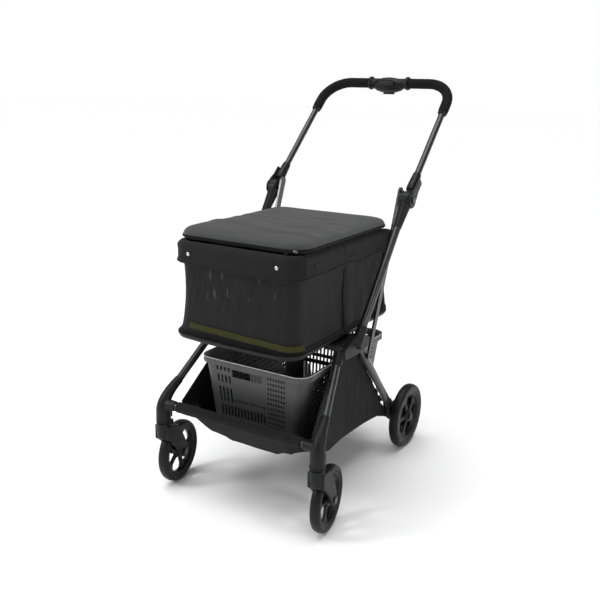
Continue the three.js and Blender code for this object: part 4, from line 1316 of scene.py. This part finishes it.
def sling_floor(x, y):
    """Height of the sling's floor, lifted where the casters swing under it; millimetres."""
    stem = joint_at("caster_swivel_left")
    reach = hypot(abs(x) - (stem.x - MIDDLE) / MM, y - stem.y / MM)
    return max(along_line(FLOOR_LINE, y), along_line(CASTER_ROOM, reach))


def sling():
    """The cloth tray under the carrier: side panels, a floor, and a front that climbs to the crossbar."""
    lo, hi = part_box("sling")
    front, back = lo.y / MM - 6, hi.y / MM - 2
    rows, wall, floor = 96, 14, 60
    verts = []
    for i in range(rows + 1):
        y = front + (back - front) * i / rows
        half = along_line(HALF_LINE, y)
        edge_floor = sling_floor(half, y)
        rim = max(along_line(RIM_LINE, y), edge_floor + 3)
        section = [(-half, rim + (edge_floor + 7 - rim) * k / wall) for k in range(wall)]
        section.append((-half + 2, edge_floor + 3))
        for k in range(floor + 1):
            x = -half + 7 + (2 * half - 14) * k / floor
            section.append((x, sling_floor(x, y)))
        section += [(-x, z) for x, z in reversed(section[:wall + 1])]
        for x, z in section:
            crease = noise.noise(Vector((x / 55, y / 45, z / 48)))
            crease += 0.5 * noise.noise(Vector((x / 17, y / 15, z / 16)))
            if abs(x) > half - 3:
                free = min(1, max(0, (rim - z) / 40)) * min(1, max(0, (z - edge_floor) / 30))
                x -= copysign(2.6 * free * abs(crease), x) if z < 300 else 0
            else:
                z += 2.4 * abs(crease) * min(1, (half - abs(x)) / 40)
            verts.append((MIDDLE + x * MM, y * MM, z * MM))
    mesh = cloth_mesh("sling", verts, grid_faces(rows, len(section) - 1), 1.2 * MM, rounds=3)
    obj = piece("sling_cloth", mesh, "sling", "frame", "sling", smooth=60)
    sling_hems(front, back)


def sling_hems(front, back):
    """Rolled hems on the side panels and loops that hold their rear edges to the rear legs."""
    pivot = joint_at("rear_leg_fold")
    for side, sign in SIDES:
        path = []
        for i in range(50):
            y = front + 14 + (back - 1 - front - 14) * i / 49
            half = along_line(HALF_LINE, y)
            path.append(Vector((MIDDLE + sign * (half - 0.6) * MM, y * MM, along_line(RIM_LINE, y) * MM)))
        piece(f"sling_hem_{side}", tube_mesh("hem", path, 1.9 * MM, 12), "sling", "frame", smooth=60)
        leg_low, leg_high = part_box(f"rear_leg_{side}")
        foot = Vector((0, leg_high.y - 6 * MM, leg_low.z + 4 * MM))
        leg = (foot - Vector((0, pivot.y, pivot.z))).normalized()
        ahead = Vector((0, -leg.z, leg.y))
        if ahead.y > 0:
            ahead = -ahead
        for k, y in enumerate((-20, 18, 52, 76)):
            rim = along_line(RIM_LINE, y)
            start = Vector((MIDDLE + sign * 146.6 * MM, (y - 6) * MM, (rim - 3) * MM))
            gap = (start.y - pivot.y) * ahead.y + (start.z - pivot.z) * ahead.z
            end = start - ahead * (gap - 6 * MM) + Vector((sign * 1.4 * MM, 0, 0))
            tab = strap_mesh("tab", line_points(start, end, 12), leg, 22 * MM, 1.3 * MM)
            loop = add_object(f"sling_tab_{k + 1}_{side}", tab)
            tab.materials.append(MATERIALS["webbing"])
            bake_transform(loop)
    rear_apron(back)


def rear_apron(back):
    """The back of the sling: it slopes from the sling's rear edge to the rear tube and is rolled round the rear
    tube.
    """
    a, b = cad_axis("rear_tube")
    tube = Vector((MIDDLE, a.y, a.z))
    half = 146 * MM
    rows, columns = 8, 50
    verts = []
    for i in range(rows + 1):
        f = i / rows
        y = (back - 1) * MM * (1 - f) + (tube.y - 3 * MM) * f
        floor = (along_line(FLOOR_LINE, back) - 0.5) * MM * (1 - f) + (tube.z - 9 * MM) * f
        rim = (along_line(RIM_LINE, back) - 2) * MM * (1 - f) + (tube.z + 9 * MM) * f
        for j in range(columns + 1):
            t = -1 + 2 * j / columns
            side = max(0.0, (abs(t) - 0.9) / 0.1)
            x = t / 0.9 * half if abs(t) < 0.9 else copysign(half, t)
            z = floor + (rim - floor) * side + 1.5 * MM * noise.noise(Vector((x * 18, y * 30, 2)))
            verts.append((MIDDLE + x, y, z))
    mesh = cloth_mesh("apron", verts, grid_faces(rows, columns), 1.2 * MM)
    mesh.shade_smooth()
    mesh.materials.clear()
    mesh.materials.append(MATERIALS["sling"])
    obj = add_object("sling_rear_apron", mesh)
    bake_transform(obj)
    path = line_points(Vector((MIDDLE - half, a.y, a.z)), Vector((MIDDLE + half, a.y, a.z)), 60)
    radii = [10.6 * MM + 0.8 * MM * noise.noise(Vector((p.x * 60, 1, 7))) for p in path]
    piece("rear_tube_wrap", tube_mesh("wrap", path, radii, 28, 0.002), "sling", "rear_frame", smooth=60)


def crossbar_wrap():
    """Cloth rolled round the crossbar, and the front of the sling hanging from it."""
    a, b = cad_axis("front_crossbar")
    low_head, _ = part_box("caster_head_left")
    half = low_head.x - MIDDLE - 9 * MM
    path, radii = [], []
    for i in range(90):
        x = MIDDLE - half + 2 * half * i / 89
        path.append(Vector((x, a.y, a.z - 0.6 * MM * sin(pi * i / 89))))
        lumps = 1.3 * MM * noise.noise(Vector((x * 34, 0, 5)))
        radii.append(12.4 * MM + lumps + 0.7 * MM * noise.noise(Vector((x * 110, 2, 0))))
    piece("crossbar_wrap", tube_mesh("wrap", path, radii, 32, 0.003), "sling", "frame", smooth=60)
    lo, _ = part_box("sling")
    verts = []
    columns, steps = 60, 8
    y = lo.y / MM + 34
    wide = along_line(HALF_LINE, y)
    for i in range(columns + 1):
        x = -1 + 2 * i / columns
        top = Vector((MIDDLE + x * half, a.y + 2 * MM, a.z - 11.5 * MM))
        low = Vector((MIDDLE + x * wide * MM * 0.96, y * MM, (sling_floor(x * wide * 0.96, y) - 1.0) * MM))
        for k in range(steps + 1):
            f = k / steps
            fold = 1.6 * noise.noise(Vector((x * 3.4, f * 2, 8)))
            fold += 0.7 * noise.noise(Vector((x * 11, f * 3, 1)))
            verts.append(top.lerp(low, f) + Vector((0, (fold - 2.5) * MM * sin(pi * f), 0)))
    mesh = cloth_mesh("apron", verts, grid_faces(columns, steps), 1.3 * MM)
    piece("sling_front_apron", mesh, "sling", "frame", smooth=60)


# ---------------------------------------------------------------- shopping basket
BASKET_WALL = 2.6 * MM


def slot_columns(start, stop, count, fill):
    """Equal slots across a span: [(low, high), ...]."""
    pitch = (stop - start) / count
    return [(start + pitch * (k + 0.5 - fill / 2), start + pitch * (k + 0.5 + fill / 2))
            for k in range(count)]


def holes_in(columns, rows):
    """Rectangles (left, right, bottom, top), as shares of a wall, wherever a column meets a row."""
    return [(*column, *row) for column in columns for row in rows]


def front_holes():
    """A short block of slots, a hand slot with thin bars, long rows below and a field of small slots."""
    holes = holes_in(slot_columns(0.035, 0.235, 4, 0.5), ((0.86, 0.95), (0.70, 0.80), (0.43, 0.63)))
    holes += holes_in([*slot_columns(0.49, 0.63, 8, 0.45), (0.25, 0.485)], [(0.80, 0.90)])
    holes += holes_in(slot_columns(0.035, 0.67, 14, 0.5), ((0.235, 0.375), (0.05, 0.18)))
    holes += holes_in(slot_columns(0.25, 0.67, 11, 0.5), [(0.455, 0.49)])
    return holes + holes_in(slot_columns(0.69, 0.92, 7, 0.52), slot_columns(0.04, 0.93, 13, 0.5))


def back_holes():
    return holes_in(slot_columns(0.05, 0.95, 17, 0.55), ((0.87, 0.93), (0.50, 0.83), (0.40, 0.45),
                                                         (0.06, 0.34)))


def side_holes():
    return holes_in(slot_columns(0.05, 0.95, 26, 0.5), slot_columns(0.05, 0.88, 13, 0.5))


def basket_wall(verts, faces, corners, holes):
    """A perforated panel between corners [bottom left, bottom right, top right, top left]."""
    bl, br, tr, tl = corners
    us = sorted({0.0, 1.0, *(h[0] for h in holes), *(h[1] for h in holes)})
    vs = sorted({0.0, 1.0, *(h[2] for h in holes), *(h[3] for h in holes)})
    base = len(verts)
    for v in vs:
        for u in us:
            verts.append(bl.lerp(br, u).lerp(tl.lerp(tr, u), v))
    for r in range(len(vs) - 1):
        for c in range(len(us) - 1):
            u, v = (us[c] + us[c + 1]) / 2, (vs[r] + vs[r + 1]) / 2
            if any(h[0] < u < h[1] and h[2] < v < h[3] for h in holes):
                continue
            a = base + r * len(us) + c
            faces.append((a, a + 1, a + len(us) + 1, a + len(us)))


def shopping_basket():
    """A tapered basket: pierced walls, rounded corners, a pierced floor, a rolled rim and a foot rim."""
    lo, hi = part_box("shopping_basket")
    taper, lip, r_top, r_low = 20 * MM, 7 * MM, 28 * MM, 22 * MM
    z0, z1 = lo.z, hi.z - 2 * MM

    def corner_points(z, inset, r):
        x0, x1, y0, y1 = lo.x + inset, hi.x - inset, lo.y + inset, hi.y - inset
        return [Vector((x1 - r, y0, z)), Vector((x1, y0 + r, z)), Vector((x1, y1 - r, z)),
                Vector((x1 - r, y1, z)), Vector((x0 + r, y1, z)), Vector((x0, y1 - r, z)),
                Vector((x0, y0 + r, z)), Vector((x0 + r, y0, z))]

    low = corner_points(z0, taper + lip, r_low)
    top = corner_points(z1, lip, r_top)
    verts, faces = [], []
    for a, b, holes in ((7, 0, front_holes()), (1, 2, side_holes()), (3, 4, back_holes()),
                        (5, 6, side_holes())):
        basket_wall(verts, faces, (low[a], low[b], top[b], top[a]), holes)
    for a, b, sx, sy in ((0, 1, 1, -1), (2, 3, 1, 1), (4, 5, -1, 1), (6, 7, -1, -1)):
        base = len(verts)
        steps, rows = 8, 4
        for row in range(rows + 1):
            f = row / rows
            r = r_low + (r_top - r_low) * f
            pa, pb = low[a].lerp(top[a], f), low[b].lerp(top[b], f)
            centre = Vector((min(pa.x, pb.x) if sx > 0 else max(pa.x, pb.x), max(pa.y, pb.y) if sy < 0
                             else min(pa.y, pb.y), pa.z))
            start = atan2(pa.y - centre.y, pa.x - centre.x)
            for k in range(steps + 1):
                t = start + pi / 2 * k / steps
                verts.append(centre + Vector((r * cos(t), r * sin(t), 0)))
        faces += grid_faces(rows, steps, base)
    floor_holes = holes_in(slot_columns(0.04, 0.96, 12, 0.6), slot_columns(0.04, 0.96, 16, 0.6))
    inner = [Vector((p.x, p.y, z0)) for p in (low[7], low[0], low[3], low[4])]
    basket_wall(verts, faces, inner, floor_holes)
    mesh = with_modifiers("basket", mesh_of("basket", verts, faces),
                          ("SOLIDIFY", {"thickness": BASKET_WALL, "offset": -1.0}),
                          ("BEVEL", {"width": 0.0004, "segments": 1, "limit_method": "ANGLE"}))
    piece("basket_shell", mesh, "basket", "shopping_basket", "shopping_basket", smooth=35)
    rings = []
    for z, inset, r in ((-14, 1.2, 33), (-13, 0, 34), (-3, 0, 34), (-0.6, 0.8, 33.5), (0, 2.4, 32),
                        (-0.5, 6.2, 29), (-3, 7.6, 28), (-3, 4.6, 30), (-4, 2.8, 31), (-13.6, 2.8, 31)):
        loop = rounded_loop(lo, hi, r * MM + inset * MM, inset * MM, 12, 24)
        rings.append([Vector((x, y, hi.z + z * MM)) for x, y in loop])
    rim = loop_mesh("rim", rings)
    piece("basket_rim", rim, "basket", "shopping_basket", smooth=40)
    # A thin pale bead along the rim's top edge: a painted highlight
    rings = []
    loop = rounded_loop(lo, hi, 32 * MM, 1.4 * MM, 12, 24)
    for (x, y), normal in zip(loop, loop_normals(loop)):
        rings.append([Vector((x, y, hi.z)) + normal * (1.1 * MM * cos(t)) + Vector((0, 0, 0.9 * MM * sin(t)))
                      for t in turns(10)])
    bead = loop_mesh("bead", rings)
    piece("basket_rim_painted_highlight_bead", bead, "painted_rim_highlight", "shopping_basket", smooth=60)
    rings = []
    for z, inset in ((0, 26.8), (-1.0, 26.8), (1.5, 24), (3, 26.0)):
        loop = rounded_loop(lo, hi, 49 * MM, inset * MM, 10, 16)
        rings.append([Vector((x, y, z0 + (z + 1) * MM)) for x, y in loop])
    foot = loop_mesh("foot", rings)
    piece("basket_foot_rim", foot, "basket", "shopping_basket", smooth=40)


# ---------------------------------------------------------------- small carried-over nodes
def carried_over():
    """CAD nodes whose own shape stays get a finished material."""
    for side, _ in SIDES:
        for node in ("elbow_pin", "leg_pin", "front_axle", "rear_axle"):
            obj = frame["nodes"][f"{node}_{side}"]
            obj.data.materials.clear()
            obj.data.materials.append(MATERIALS["dim_steel"])


camera()
studio()
plain_tubes()
smoothed_nodes()
fold_links()
elbows()
handle()
wheels()
caster_forks()
carrier_walls()
carrier_trim()
carrier_band()
tray()
lid()
pad()
sling()
crossbar_wrap()
shopping_basket()
carried_over()
